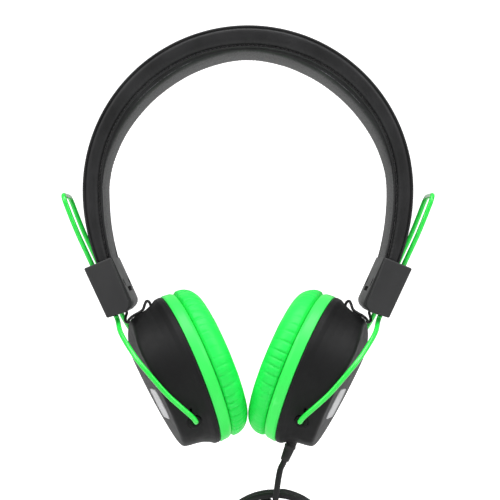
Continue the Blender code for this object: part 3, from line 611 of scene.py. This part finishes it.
def band_section(seam, thickness, pull, pucker):
    """Half of the cover's section as (depth below the outer face, y), from outer middle to inner middle.

    seam is the depth of the stitching. pull is 1 at a needle hole and 0 between two of them.
    """
    y = BAND_HALF_DEPTH
    outer = [(0.0, 0.0), (0.0, 0.006), (0.00003, 0.011), (0.0001, 0.0142), (0.0002, y - 0.0012)]
    outer += [(0.0004, y - 0.0006), (0.0007, y - 0.0004)]
    lip = [(0.0010, y - 0.0005), (0.0012, y - 0.0011), (0.0014, y - 0.0011), (0.0016, y - 0.0007)]
    lip += [(0.0020, y - 0.00035), (0.0025, y - 0.00012), (0.0034, y)]
    side = [(seam * 0.6, y), (seam - 0.0018, y - 0.00005 * pull)]
    groove = [(seam - 0.0009, y - 0.0004 - 0.0002 * pull), (seam - 0.0004, y - 0.0012 - 0.0002 * pull)]
    groove += [(seam, y - 0.0017), (seam + 0.0003, y - 0.0014)]
    piping = [(seam + 0.00045, y - 0.0006), (seam + 0.00075, y - 0.00035), (seam + 0.00105, y - 0.0006)]
    start = seam + 0.0013
    foot = [(seam + 0.0012, y - 0.0012), (start, y - 0.0015)]
    bulge = thickness + 0.0001 - start
    steps = 8
    roll = []
    for i in range(1, steps + 1):
        angle = math.pi / 2 * i / steps
        depth = start + bulge * math.sin(angle) ** 0.9
        inset = 0.0013 - 0.0002 * math.sin(2 * angle) + 0.0042 * (1 - math.cos(angle))
        roll.append((depth - pucker * math.sin(2 * angle), y - inset))
    flat = [(thickness + 0.0003, 0.0088), (thickness + 0.0004, 0.0045), (thickness + 0.0004, 0.0)]
    return outer + lip + side + groove + piping + foot + roll + flat


def headband():
    """The sewn cover: a flat outer sheet, a stitched seam with piping, and a soft roll on the inside."""
    rings, stitches = [], []
    per_stitch, plain_ends = 4, 8
    thread_radius, thread_inset, thread_sink = 0.00024, 0.00115, 0.0003
    stations = band_stations(STITCH_PITCH / per_stitch)
    centre = in_world(0, 0, 0)
    for number, (outer, seam, inner) in enumerate(stations):
        inward = (inner - outer).normalized()
        pull = 0.5 + 0.5 * math.cos(2 * math.pi * number / per_stitch)
        wander = noise.noise(seam * 160.0)
        pucker = 0.00022 * pull * (0.6 + wander) + 0.0002 * noise.noise(seam * 90.0)
        half = band_section((seam - outer).length, (inner - outer).length, pull, pucker)
        closed = half + [(depth, -y) for depth, y in reversed(half[1:-1])]
        rings.append([centre + outer + inward * depth + Vector((0, y, 0)) for depth, y in closed])
        if number % per_stitch == 2 and plain_ends < number < len(stations) - plain_ends:
            ahead = (stations[number + 1][1] - stations[number - 1][1]).normalized()
            slant = (ahead + inward * 0.15).normalized() * STITCH_PITCH * 0.34
            for way in (1, -1):
                beside = Vector((0, way * (BAND_HALF_DEPTH - thread_inset), 0))
                middle = centre + seam - inward * 0.0001 + beside
                sink = Vector((0, way * thread_sink, 0))
                path = [middle - slant * 1.25 - sink, middle - slant, middle, middle + slant]
                path.append(middle + slant * 1.25 - sink)
                stitches.append(tube_mesh("stitch", path, thread_radius, 8))
    cover = mesh_from_rings("headband_leather_cover", rings)
    add_piece(cover, "headband", LEATHERETTE, ["headband_cover"], None)
    sewn = joined("headband_stitching", stitches)
    add_piece(sewn, "headband", THREAD, [])


# ---- slider blocks
def band_socket():
    half_depth = BAND_HALF_DEPTH + GAP
    low, high = (SOCKET_INNER, -half_depth, SOCKET_FLOOR), (SOCKET_OUTER, half_depth, BEYOND)
    return box_mesh("socket", low, high, 0.0005, 3)


def lower_corner(inner_face, bottom, end):
    """The round lower inner corner of a shell's outline, up to the end angle."""
    return arc((inner_face + BLOCK_CORNER, bottom + BLOCK_CORNER), BLOCK_CORNER, 180, end, 12)


def block_outer_shell(side):
    """The larger shell. A lip at the front and one at the rear cover the joint between the shells."""
    outline = [(BLOCK_OUTER_FACE, BLOCK_TOP[0]), (LIP_EDGE - 0.0009, BLOCK_TOP[1])]
    outline += [*lower_corner(LIP_EDGE, BLOCK_BOTTOM[1], 266), (BLOCK_OUTER_FACE, BLOCK_BOTTOM[0])]
    shell = prism_mesh(side + "_block_outer", outline, BLOCK_DEPTH, 0.0007, 5)
    half = BLOCK_DEPTH / 2 - LIP_DEPTH
    room = box_mesh("room", (-BEYOND, -half, -BEYOND), (BLOCK_SPLIT + 0.0001, half, BEYOND))
    slot = box_mesh("slot", (BLOCK_SPLIT - 0.002, -0.0084, -0.009), (-0.0037, 0.0084, 0.004))
    outlet = rod_mesh("outlet", LINK_RADIUS + GAP, (LINK_HOLE_X, 0, -BEYOND), (LINK_HOLE_X, 0, -0.008), 20)
    cutters = [room, band_socket(), slot, outlet]
    for y in (-WIRE_HALF_SPREAD, WIRE_HALF_SPREAD):
        ends = [(WIRE_X, y, z) for z in (-BEYOND, BEYOND)]
        cutters.append(rod_mesh("bore", WIRE_RADIUS + 0.00025, *ends))
    shell = cut(shell, cutters)
    shell.transform(block_frame(side))
    add_piece(shell, "headband", BLOCK_PLASTIC, [side + "_block_outer_shell"])


def block_inner_shell(side):
    """The shell that faces the head. It stands out a little beyond the lips of the outer shell."""
    join = BLOCK_SPLIT - GAP
    outline = [(join, BLOCK_TOP[1]), (BLOCK_INNER_FACE - 0.0002, BLOCK_TOP[2])]
    outline += [*lower_corner(BLOCK_INNER_FACE, BLOCK_BOTTOM[2], 264), (join, BLOCK_BOTTOM[2])]
    depth = BLOCK_DEPTH - 2 * LIP_DEPTH - 0.0002
    shell = prism_mesh(side + "_block_inner", outline, depth, 0.0007, 5)
    low, high = (-BEYOND, -0.0075, -0.0074), (-0.0090, 0.0075, -0.0052)
    cutters = [band_socket(), box_mesh("grip_slot", low, high, 0.0003, 2)]
    for y in (-SCREW_SPREAD, SCREW_SPREAD):
        open_end = (-BEYOND, y, SCREW_RISE)
        cutters.append(rod_mesh("recess", 0.0021, open_end, (SCREW_SEAT, y, SCREW_RISE)))
        cutters.append(rod_mesh("hole", 0.0012, open_end, (-0.0030, y, SCREW_RISE)))
    shell = cut(shell, cutters)
    shell.transform(block_frame(side))
    add_piece(shell, "headband", BLOCK_PLASTIC, [side + "_block_inner_shell"])


def screw_mesh(name, head_radius, shank_radius, head_height, length):
    """A pan-head screw with a cross recess, head at +Z."""
    dome = [(0, 1), (0.6, 0.94), (0.93, 0.6), (1, 0.25), (1, 0)]
    profile = [(head_radius * r, head_height * z) for r, z in dome] + [(shank_radius, 0.0)]
    z = 0.0
    while z > -length + 0.001:
        profile += [(shank_radius * 0.82, z - 0.00015), (shank_radius, z - 0.0003)]
        z -= 0.00045
    profile += [(shank_radius * 0.7, -length + 0.0004), (0, -length)]
    body = turned_mesh(name, profile, None, 32)
    arm, width = head_radius * 0.62, head_radius * 0.16
    floor, above = head_height * 0.3, head_height * 2
    outline = []
    for quarter in range(4):
        for x, y in ((arm, -width), (arm, width), (width, width)):
            for _ in range(quarter):
                x, y = -y, x
            outline.append((x, y))
    cross = prism_mesh("cross", outline, above - floor)
    cross.transform(at(0, 0, (floor + above) / 2) @ turn(90, "X"))
    return cut(body, [cross])


def block_screws(side):
    for label, y in (("front", -SCREW_SPREAD), ("rear", SCREW_SPREAD)):
        name = f"{side}_block_screw_{label}"
        mesh = screw_mesh(name + "_pan_head", 0.0017, 0.0009, 0.0012, 0.0051)
        mesh.transform(block_frame(side) @ at(SCREW_SEAT - GAP, y, SCREW_RISE) @ turn(-90, "Y"))
        add_piece(mesh, "headband", BLACK_STEEL, [name])


# ---- hanger wires
def leg_path(side, front):
    """One leg of the hairpin, from inside the block to its bent end in the bush, in the block's frame."""
    way = SIDES[side] * (-1 if front else 1)
    to_block = block_frame(side).inverted() @ cup_frame(side)

    def beside_block(x, spread, z):
        return Vector((x, way * spread, z))

    def beside_cup(down, spread, depth):
        return to_block @ Vector((down, way * spread, depth))

    leg = [
        beside_block(WIRE_X, WIRE_HALF_SPREAD, GUIDE_END),
        beside_block(WIRE_X + 0.0001, 0.0136, GUIDE_END - 0.0024),
        beside_block(WIRE_X + 0.0003, 0.0213, -0.0233),
    ]
    if front:
        leg += [beside_block(-0.0029, 0.0307, -0.0347), beside_block(-0.0057, 0.0350, -0.0440)]
        leg += [beside_block(-0.0087, 0.0355, -0.0540), beside_block(-0.0116, 0.0352, -0.0612)]
        leg.append(beside_cup(0.0168, 0.0324, 0.0104))
    else:
        leg += [beside_block(-0.0020, 0.0307, -0.0347), beside_block(-0.0034, 0.0352, -0.0441)]
        leg += [beside_block(-0.0041, 0.0356, -0.0544), beside_cup(0.0150, 0.0352, 0.0080)]
    leg += [beside_cup(0.0197, 0.0306, 0.0093), beside_cup(PIVOT_DROP, 0.0280, PIVOT_DEPTH)]
    in_bush = [beside_cup(PIVOT_DROP, spread, PIVOT_DEPTH) for spread in (0.0246, 0.0212)]
    return smooth_path(leg) + in_bush


def crown_path(side):
    """The closed end of the hairpin above the block, in the block's frame."""
    front = -SIDES[side]
    inner = WIRE_HALF_SPREAD - CROWN_CORNER
    top = CROWN_HEIGHT - WIRE_RADIUS

    def lean(z):
        share = max(0.0, (z - CROWN_LEAN_START) / (CROWN_HEIGHT - CROWN_LEAN_START))
        return WIRE_X + CROWN_LEAN_IN * share**1.5

    half = [(WIRE_HALF_SPREAD, 0.004 * i) for i in range(-2, 7)]
    half += [(WIRE_HALF_SPREAD, z) for z in (0.0275, 0.0305, 0.0335, 0.0360)]
    half += arc((inner, top - CROWN_CORNER), CROWN_CORNER, 0, 90, 14)
    half += [(inner * 0.5, top)]
    rise = [Vector((lean(z), front * y, z)) for y, z in half]
    middle = [Vector((lean(top), 0, top))]
    fall = [Vector((p.x, -p.y, p.z)) for p in reversed(rise)]
    return rise + middle + fall


def hanger(side):
    path = leg_path(side, True)[::-1] + crown_path(side) + leg_path(side, False)
    mesh = tube_mesh(side + "_hanger_bent_wire", path, WIRE_RADIUS, 24)
    mesh.transform(block_frame(side))
    add_piece(mesh, side + "_hanger", WIRE_GREEN, [side + "_hanger_wire"], None)


# ---- ear cups
def wedge(angle, radius, height):
    """Leans the back of the cup, so that it's thinner at the bottom, and slopes off its upper edge."""
    x = radius * math.cos(angle)
    share = height / CUP_DEPTH
    brow = max(0.0, -x - CUP_BROW_START) / (RING_RADIUS - CUP_BROW_START)
    return radius, height - CUP_WEDGE * x * share - CUP_BROW_DROP * brow**2 * share**2


def cup_shell(side):
    outside = [(0, CUP_DEPTH), (0.0309, CUP_DEPTH, 0.0022), (0.0316, 0.0150, 0.004)]
    outside += [(0.0320, 0.0110, 0.003), (0.0327, 0.0075, 0.004), (0.0339, 0.0045, 0.003)]
    outside += [(0.0352, 0.0024, 0.0012), (0.0354, 0.0004, 0.0003), (0.0351, 0.0), (0.0330, 0.0)]
    floor = CUP_DEPTH - CUP_WALL
    inside = [(0.0330, 0.0028), (0.0316, 0.0040), (0.0304, 0.0088), (0.0296, 0.0150)]
    inside += [(0.0285, floor), (0, floor)]
    profile = fillet(outside, 5) + inside
    shell = turned_mesh(side + "_cup_turned_shell", profile, None, 128, shape=wedge)
    cutters = []
    for way in (-1, 1):
        hole_ends = [(PIVOT_DROP, way * y, PIVOT_DEPTH) for y in (0.015, 0.035)]
        cutters.append(rod_mesh("bush_hole", BUSH_RADIUS + 0.0002, *hole_ends))
        near, far = sorted((way * 0.026, way * 0.036))
        low = (PIVOT_DROP - 0.0064, near, PIVOT_DEPTH - 0.0005)
        high = (PIVOT_DROP - 0.0044, far, PIVOT_DEPTH + 0.0005)
        cutters.append(box_mesh("latch_slot", low, high))
    cutters.append(badge_pocket())
    y, z = SIDES[side] * LINK_INLET[0], LINK_INLET[1]
    cutters.append(rod_mesh("inlet", LINK_RADIUS + 0.0004, (-0.029, y, z), (-0.040, y, z), 20))
    if side == "left":
        ends = [(down, 0, RELIEF_DEPTH) for down in (0.028, 0.040)]
        cutters.append(rod_mesh("outlet", RELIEF_RADIUS + GAP, *ends))
    shell = cut(shell, cutters)
    shell.transform(cup_frame(side))
    add_piece(shell, side + "_cup", CUP_PLASTIC, [side + "_cup_shell"], 40)


def pivot_bushes(side):
    bore = WIRE_RADIUS + 0.0001
    length = BUSH_OUTER - BUSH_INNER
    outline = [(bore, 0), (bore, length - 0.0003), (bore + 0.0003, length, 0.0002)]
    profile = fillet([*outline, (BUSH_RADIUS, length, 0.0005), (BUSH_RADIUS, 0)])
    for label, way in (("front", -1), ("rear", 1)):
        y = SIDES[side] * way
        place = cup_frame(side) @ at(PIVOT_DROP, y * BUSH_INNER, PIVOT_DEPTH) @ turn(-y * 90, "X")
        name = f"{side}_pivot_bush_{label}"
        mesh = turned_mesh(name + "_sleeve", profile, place, 40, True)
        add_piece(mesh, side + "_cup", CUP_PLASTIC, [name])


def badge_outline(inset):
    return rounded_outline(BADGE_SIZE[0] / 2 - inset, BADGE_SIZE[1] / 2 - inset, BADGE_CORNER - inset)


def badge_seat():
    """The frame of the badge's lower face, within the cup's frame."""
    face = at(BADGE_DROP, 0, CUP_DEPTH - CUP_WEDGE * BADGE_DROP)
    return face @ Matrix.Rotation(math.atan(CUP_WEDGE), 4, "Y") @ at(0, 0, GAP - BADGE_SINK)


def badge_pocket():
    rings = [[(x, y, z) for x, y in badge_outline(-0.00025)] for z in (-0.0002, 0.004)]
    return mesh_from_rings("badge_pocket", rings, False, badge_seat())


def badge(side):
    """A blank plate with a raised rim, in a shallow pocket."""
    levels = [(0.0002, 0.0), (0.0, 0.0002), (0.0, 0.0008), (0.0002, 0.001)]
    levels += [(0.0007, 0.001), (0.0009, 0.0008)]
    rings = [[(x, y, z) for x, y in badge_outline(inset)] for inset, z in levels]
    for share in (0.5, 0.05):
        rings.append([(x * share, y * share, 0.00085) for x, y in badge_outline(0.0010)])
    mesh = mesh_from_rings(side + "_badge_blank_plate", rings, False, cup_frame(side) @ badge_seat())
    add_piece(mesh, side + "_cup", BADGE_SILVER, [side + "_badge"])


def pad_ring(side):
    back = -RING_THICKNESS - GAP
    r = RING_RADIUS
    outline = [(RING_HOLE, -GAP), (r - 0.0003, -GAP, 0.0003), (r, -0.0012, 0.0006)]
    outline += [(r - 0.0003, -0.0044, 0.002), (r - 0.0011, back, 0.0007), (RING_HOLE, back)]
    mesh = turned_mesh(side + "_pad_ring_moulding", fillet(outline, 5), cup_frame(side), 128, True)
    add_piece(mesh, side + "_cup", RING_GREEN, [side + "_pad_ring"], 40)


def gathers(angle, seed):
    """Creases round the cushion where the sewn edge gathers its cover: 1 in a crease and 0 between them."""
    drift = 0.55 * math.sin(5 * angle + seed) + 0.35 * math.sin(13 * angle + 2 * seed)
    turns = (PAD_CREASES * angle + drift * 2.0) / (2 * math.pi)
    number = math.floor(turns)
    offset = abs(turns - number - 0.5) * 2
    strength = 0.55 + 0.45 * math.sin(12.9898 * number + 4.1 * seed)
    return max(0.0, 1 - offset / 0.42) ** 1.3 * strength


def ear_pad(side):
    """A gathered leather ring: pleats start at the sewn edges and fade out over the crown.
    """
    back = -RING_THICKNESS - 2 * GAP
    face = -PAD_FACE
    roll = 0.0078
    outline = [(PAD_HOLE, back), (0.0240, back), (PAD_RADIUS - 0.0014, back, 0.0004)]
    outline += arc((PAD_RADIUS - roll, face + roll), roll, 8, -90, 20)
    outline += [(0.0205, face, 0.004), (PAD_HOLE + 0.0012, -0.0143, 0.002)]
    outline += [(PAD_HOLE, -0.0110, 0.002), (PAD_HOLE, -0.0080)]
    coarse = fillet(outline, 6)
    profile = []
    for first, second in zip(coarse, coarse[1:]):
        profile += split_span(first, second, max(1, round(math.dist(first, second) / 0.0006)))
    seed = 1.0 if side == "left" else 2.7

    def pleat(angle, radius, height):
        fold = gathers(angle, seed)
        low = max(0.0, min(1.0, (height - face) / (back - face)))
        soft = 0.00035 * noise.noise(Vector((6 * math.cos(angle), 6 * math.sin(angle), seed + 90 * height)))
        if radius > 0.024:
            reach = min(1.0, 1.25 * low) ** 1.2
            return radius - 0.0011 * reach * fold + soft, height + 0.0003 * reach * fold
        if radius < 0.0205:
            return radius + 0.0007 * low**1.3 * gathers(angle + 0.4, seed + 1), height
        return radius, height + soft

    cup = cup_frame(side)
    mesh = turned_mesh(side + "_cushion", profile, cup, 640, True, pleat)
    cushion = add_piece(mesh, side + "_cup", CUSHION_GREEN, [side + "_ear_pad"], None)
    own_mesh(cushion)


def front_cloth(side):
    profile = [(0, -0.0052), (0.020, -0.0050), (0.0262, -0.0046), (0.0262, -0.0040), (0, -0.0040)]
    mesh = turned_mesh(side + "_front_cloth_disc", profile, cup_frame(side), 96)
    add_piece(mesh, side + "_cup", BLACK_CLOTH, [side + "_front_cloth"])


def link_cable(side):
    """The thin lead between block and cup, in three pieces: the first two stay where they are built and the last
    one moves with the cup.
    """
    sign = SIDES[side]
    block, cup = block_frame(side), cup_frame(side)
    upper = [(LINK_HOLE_X, 0, -0.0100), (LINK_HOLE_X, 0, -0.0152), (-0.0036, 0.0006, -0.0168)]
    over_edge = [(-0.0316, -0.0008, 0.0186), (-0.0303, -0.0018, 0.0179), (-0.0314, -0.0024, 0.0168)]
    along_cup = [(-0.0321, -0.0028, 0.0150), (-0.0324, -0.0028, 0.0128), (-0.0327, -0.0020, 0.0108)]
    spare_loop = [(-0.0333, 0.0002, 0.0090), (-0.0352, 0.0030, 0.0070), (-0.0360, 0.0042, 0.0057)]
    inlet = [(down, *LINK_INLET) for down in (-0.0350, -0.0330, -0.0305)]
    lower = over_edge + along_cup + spare_loop + inlet
    points = [block @ Vector((x, sign * y, z)) for x, y, z in upper]
    points += [cup @ Vector((x, sign * y, z)) for x, y, z in lower]
    per_span = 8
    path = smooth_path(points, per_span)
    on_hanger, on_cup = 2 * per_span, 6 * per_span
    name = side + "_link_cable"

    def piece(label, run, body=None, replaces=()):
        mesh = tube_mesh(name + label, run, LINK_RADIUS, 16)
        return add_piece(mesh, body, RUBBER, replaces, None)

    stretch = piece("_stretch", path[: on_hanger + 1])
    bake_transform(stretch)
    bend = piece("_bend", path[on_hanger : on_cup + 1])
    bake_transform(bend)
    piece("_loop", path[on_cup:], side + "_cup", [name])


# ---- cable, pod and plug
def ribbed_profile(bore):
    """The plug's flexible sleeve: ribs that grow towards its root."""
    ribs, pitch, groove = 7, 0.00105, 0.0003
    small, large = 0.0020, 0.0027
    profile = [(bore, 0.0)]
    for i in range(ribs):
        radius = small + (large - small) * i / (ribs - 1)
        z = i * pitch
        profile += [(radius, z), (radius, z + pitch * 0.62), (radius - groove, z + pitch * 0.72)]
        profile.append((radius - groove, z + pitch * 0.92))
    profile.append((bore, ribs * pitch))
    return profile


def strain_relief():
    bore = CABLE_RADIUS + 0.0001
    r = RELIEF_RADIUS
    root = [(bore, 0.0286), (0.0031, 0.0286), (0.0031, 0.0296), (r, 0.0296), (r, 0.0345)]
    flange = [(0.00262, 0.0346), (0.00265, 0.0350), (0.00262, 0.0356), (r, 0.0359)]
    taper = [(0.00235, 0.0370), (0.00215, 0.0395), (0.0020, 0.0416), (0.0018, 0.0420), (bore, 0.0420)]
    place = cup_frame("left") @ at(0, 0, RELIEF_DEPTH) @ turn(90, "Y")
    mesh = turned_mesh("cable_relief_sleeve", root + flange + taper, place, 40, True)
    add_piece(mesh, "left_cup", RUBBER, ["cable_strain_relief"])


def cable_upper():
    cup = cup_frame("left")
    x, y, rise = POD_CENTRE
    pod_top = rise + POD_SIZE[2] / 2
    points = [cup @ Vector((down, 0, RELIEF_DEPTH)) for down in (0.0270, 0.0340, 0.0425)]
    points += [in_world(0.0145, -0.0017, -0.1265), in_world(0.0130, -0.0035, -0.1350)]
    points += [in_world(x, y, pod_top + 0.002), in_world(x, y, pod_top - 0.003)]
    mesh = tube_mesh("cable_upper_run", smooth_path(points), CABLE_RADIUS, 24)
    add_piece(mesh, "left_cup", RUBBER, ["cable_upper"], None)


def coil_point(angle):
    x, y, rise = COIL_CENTRE
    along = COIL_PITCH * angle / (2 * math.pi)
    return in_world(x + COIL_RADIUS * math.sin(angle), y + along, rise - COIL_RADIUS * math.cos(angle))


def cable_coil():
    """The spare cable in a flat coil from the pod to the plug. Returns the plug's y."""
    x, y, rise = POD_CENTRE
    pod_bottom = rise - POD_SIZE[2] / 2
    lead_in = [in_world(x, y, pod_bottom + 0.003), in_world(x, y, pod_bottom - 0.002)]
    lead_in.append(in_world(x + 0.0012, y + 0.0015, pod_bottom - 0.0070))
    lead_in.append(in_world(x + 0.0055, y + 0.0045, pod_bottom - 0.0115))
    start, stop = 0.40, 2 * math.pi * COIL_TURNS - 3.3
    steps = 48 * COIL_TURNS
    winding = [coil_point(start + (stop - start) * i / steps) for i in range(steps + 1)]
    plug_y = winding[-1].y + 0.0022
    lead_out = [
        in_world(x - 0.0115, plug_y - 0.0014, COIL_CENTRE[2] + 0.0232),
        in_world(x - 0.0080, plug_y - 0.0004, COIL_CENTRE[2] + 0.0205),
        in_world(x - 0.0030, plug_y, PLUG_TOP + 0.0070),
        in_world(x, plug_y, PLUG_TOP + 0.0010),
        in_world(x, plug_y, PLUG_TOP - 0.0060),
    ]
    path = smooth_path([*lead_in, winding[0], winding[4]])[:-10] + winding[1:-1]
    path += smooth_path([winding[-5], winding[-1], *lead_out])[10:]
    mesh = tube_mesh("cable_coil_windings", path, CABLE_RADIUS, 20)
    add_piece(mesh, "left_cup", RUBBER, ["cable_coil"], None)
    return plug_y


def cable_tie():
    """A strap round all the turns: a closed loop of flat webbing with a rounded section."""
    low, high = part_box("cable_tie")
    middle = (low + high) / 2
    wall, corner = 0.0009, 0.0016
    half_z = (high.z - low.z) / 2
    path = rounded_outline((high.x - low.x - wall) / 2, (high.y - low.y - wall) / 2, corner, 8)
    rings = []
    for i, (x, y) in enumerate(path):
        before, after = path[i - 1], path[(i + 1) % len(path)]
        out = Vector((after[1] - before[1], before[0] - after[0], 0)).normalized()
        ring = []
        for side, level in ((-1, -1), (1, -1), (1, 1), (-1, 1)):
            for a, b in ((0.7, 1.0), (1.0, 0.96)) if side * level < 0 else ((1.0, 0.96), (0.7, 1.0)):
                shift = out * (side * a * wall / 2)
                ring.append(middle + Vector((x, y, 0)) + shift + Vector((0, 0, level * b * half_z)))
        rings.append(ring)
    mesh = mesh_from_rings("cable_tie_strap", rings, True)
    add_piece(mesh, "left_cup", BLACK_CLOTH, ["cable_tie"])


def microphone_pod():
    half_x, half_y, half_z = (size / 2 for size in POD_SIZE)
    place = Matrix.Translation(in_world(*POD_CENTRE))
    room = Vector([size / 2 - POD_WALL for size in POD_SIZE])
    for label, way in (("front", -1), ("rear", 1)):
        outline = rounded_outline(half_x, half_z, 0.0028)
        whole = prism_mesh(f"pod_{label}_half", outline, POD_SIZE[1], 0.0012)
        near, far = sorted((way * 0.00008, -way * 0.02))
        cutters = [box_mesh("other_half", (-0.02, near, -0.04), (0.02, far, 0.04))]
        cutters.append(box_mesh("cavity", -room, room))
        ends = [(0, 0, z) for z in (-0.03, 0.03)]
        cutters.append(rod_mesh("cable_hole", CABLE_RADIUS + 0.00015, *ends))
        if label == "front":
            window = prism_mesh("window", rounded_outline(0.00235, 0.00525, 0.0016), 0.004)
            window.transform(at(0, -half_y, BUTTON_RISE))
            sound_ends = [(0, y, -0.0115) for y in (-0.008, -0.002)]
            cutters += [window, rod_mesh("sound_hole", 0.0006, *sound_ends, 20)]
        shell = cut(whole, cutters)
        shell.transform(place)
        add_piece(shell, "left_cup", CUP_PLASTIC, [f"pod_{label}_shell"])
    depth, stands_out = 0.0024, 0.0007
    button = prism_mesh("pod_button_cap", rounded_outline(0.0021, 0.0050, 0.0014), depth, 0.0004)
    ridges = []
    for z in (-0.001, 0, 0.001):
        ridges.append(rod_mesh("ridge", 0.00025, (-0.0013, -depth / 2, z), (0.0013, -depth / 2, z), 12))
    button = cut(button, ridges, "UNION")
    button.transform(place @ at(0, depth / 2 - half_y - stands_out, BUTTON_RISE))
    add_piece(button, "pod_button", RUBBER, ["pod_button"])


def plug(plug_y):
    top = Matrix.Translation(in_world(POD_CENTRE[0], plug_y, PLUG_TOP)) @ turn(180, "X")
    bore = CABLE_RADIUS + 0.0001
    mesh = turned_mesh("plug_relief_sleeve", ribbed_profile(bore), top, 40, True)
    add_piece(mesh, "left_cup", RUBBER, ["plug_strain_relief"])
    r = PIN_RADIUS
    outline = [(0, 0.0080), (0.0034, 0.0080, 0.0006), (0.0040, 0.0090, 0.0006), (0.0040, 0.0200, 0.001)]
    outline += [(0.0034, 0.0218, 0.0006), (0.0028, 0.0222), (r + 0.00015, 0.0222), (r + 0.00015, 0.0190)]
    grip = fillet([*outline, (0, 0.0190)])

    def fluted(angle, radius, height):
        inside = 0.0098 < height < 0.0192 and radius > 0.0036
        return (radius - 0.00018 * (0.5 + 0.5 * math.cos(24 * angle)) if inside else radius), height

    profile = []
    for first, second in zip(grip, grip[1:]):
        profile += split_span(first, second, 12 if abs(first[1] - second[1]) > 0.005 else 1)
    mesh = turned_mesh("plug_fluted_grip", [*profile, grip[-1]], top, 144, shape=fluted)
    add_piece(mesh, "left_cup", CUP_PLASTIC, ["plug_grip"])
    pin = [(0, 0.0195), (r, 0.0195), (r, 0.0328), (0.0012, 0.0337), (0.0012, 0.0341), (0.0016, 0.0347)]
    pin += [(0.0014, 0.0354), (0.0008, 0.0361), (0, 0.0364)]
    mesh = turned_mesh("plug_contact_pin", pin, top, 40)
    add_piece(mesh, "left_cup", GOLD, ["plug_pin"])
    rings = []
    for z in (0.0240, 0.0272, 0.0304):
        low, high, top_z = r - 0.0003, r + 0.00003, z + 0.0006
        band = [(low, z), (high, z), (high, top_z), (low, top_z)]
        rings.append(turned_mesh("ring", band, top, 40, True))
    mesh = joined("plug_insulating_rings", rings)
    add_piece(mesh, "left_cup", RUBBER, [])


# ---- CAD pieces that stay
def finish_inner_parts():
    """The pieces inside keep their CAD shapes and get real materials."""
    finishes = {"headband_foam": FOAM, "headband_spring": STEEL}
    finishes |= {"pod_board": BOARD, "microphone_capsule": STEEL}
    for side in SIDES:
        finishes[side + "_band_clamp"] = STEEL
        finishes[side + "_baffle"] = CUP_PLASTIC
        finishes[side + "_driver_frame"] = CUP_PLASTIC
        finishes[side + "_driver_magnet"] = STEEL
        finishes[side + "_driver_membrane"] = MEMBRANE
        for number in (1, 2, 3):
            finishes[f"{side}_cup_screw_{number}"] = STEEL
    for name, material in finishes.items():
        mesh = frame["nodes"][name].data
        mesh.materials.clear()
        mesh.materials.append(material)


# ---- stage, lights and camera
def stage():
    """A pale floor that sweeps up into a pale wall far behind."""
    floor_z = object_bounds()[0].z - FLOOR_DROP
    near, far, radius, height = -1.6, 1.2, 0.6, 2.2
    profile = [(near, 0), *arc((far, radius), radius, -90, 0, 12), (far + radius, height)]
    rows = [[(x, y, floor_z + z) for y, z in profile] for x in (-2.5, 2.5)]
    shape = bmesh.new()
    verts = [[shape.verts.new(p) for p in row] for row in rows]
    for i in range(len(profile) - 1):
        shape.faces.new((verts[0][i], verts[1][i], verts[1][i + 1], verts[0][i + 1]))
    mesh = baked("floor_sweep", shape)
    mesh.shade_smooth()
    pale = Finish("pale_floor", (0.8, 0.8, 0.8), 0.9)
    pale.set("Emission Color", (1, 1, 1, 1))
    seen = pale.add("LightPath").outputs["Is Camera Ray"]
    glow = pale.remap(seen, 0.0, 1.0, 0.12, 0.75)
    pale.set("Emission Strength", glow)
    mesh.materials.append(pale.material)
    linked("floor_sweep", mesh)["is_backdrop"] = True


def softbox(name, place, size, power):
    """A rectangular light aimed at the frame's origin."""
    light = bpy.data.lights.new(name, "AREA")
    light.shape = "RECTANGLE"
    light.size, light.size_y = size
    light.energy = power
    lamp = linked(name, light)
    lamp.location = place
    lamp.rotation_euler = (-Vector(place)).to_track_quat("-Z", "Y").to_euler()


def lights():
    world = bpy.data.worlds.new("soft_studio")
    bpy.context.scene.world = world
    world.use_nodes = True
    sky = world.node_tree.nodes["Background"].inputs
    sky["Color"].default_value = (1, 1, 1, 1)
    sky["Strength"].default_value = 0.38
    softbox("top_softbox", (0, -0.25, 1.1), (0.9, 0.7), 10.0)
    softbox("left_softbox", (-0.9, -0.6, 0.8), (0.5, 0.8), 7.0)
    softbox("right_softbox", (0.9, -0.6, 0.8), (0.5, 0.8), 7.0)


def camera():
    """Level with the sliders, 600 mm in front, as the object is usually photographed."""
    data = bpy.data.cameras.new("front_camera")
    data.sensor_width = 36.0
    data.lens = 95.04
    data.shift_x = 0.004
    data.clip_start = 0.01
    made = linked("front_camera", data)
    made.location = in_world(0, -0.600, -0.0265)
    made.rotation_euler = (math.radians(90), 0, 0)
    bpy.context.scene.camera = made


def main():
    bpy.context.scene.view_settings.view_transform = "Standard"
    headband()
    for side in SIDES:
        block_outer_shell(side)
        block_inner_shell(side)
        block_screws(side)
        hanger(side)
        cup_shell(side)
        pivot_bushes(side)
        badge(side)
        pad_ring(side)
        ear_pad(side)
        front_cloth(side)
        link_cable(side)
    strain_relief()
    cable_upper()
    plug(cable_coil())
    cable_tie()
    microphone_pod()
    finish_inner_parts()
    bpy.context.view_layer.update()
    stage()
    lights()
    camera()


main()
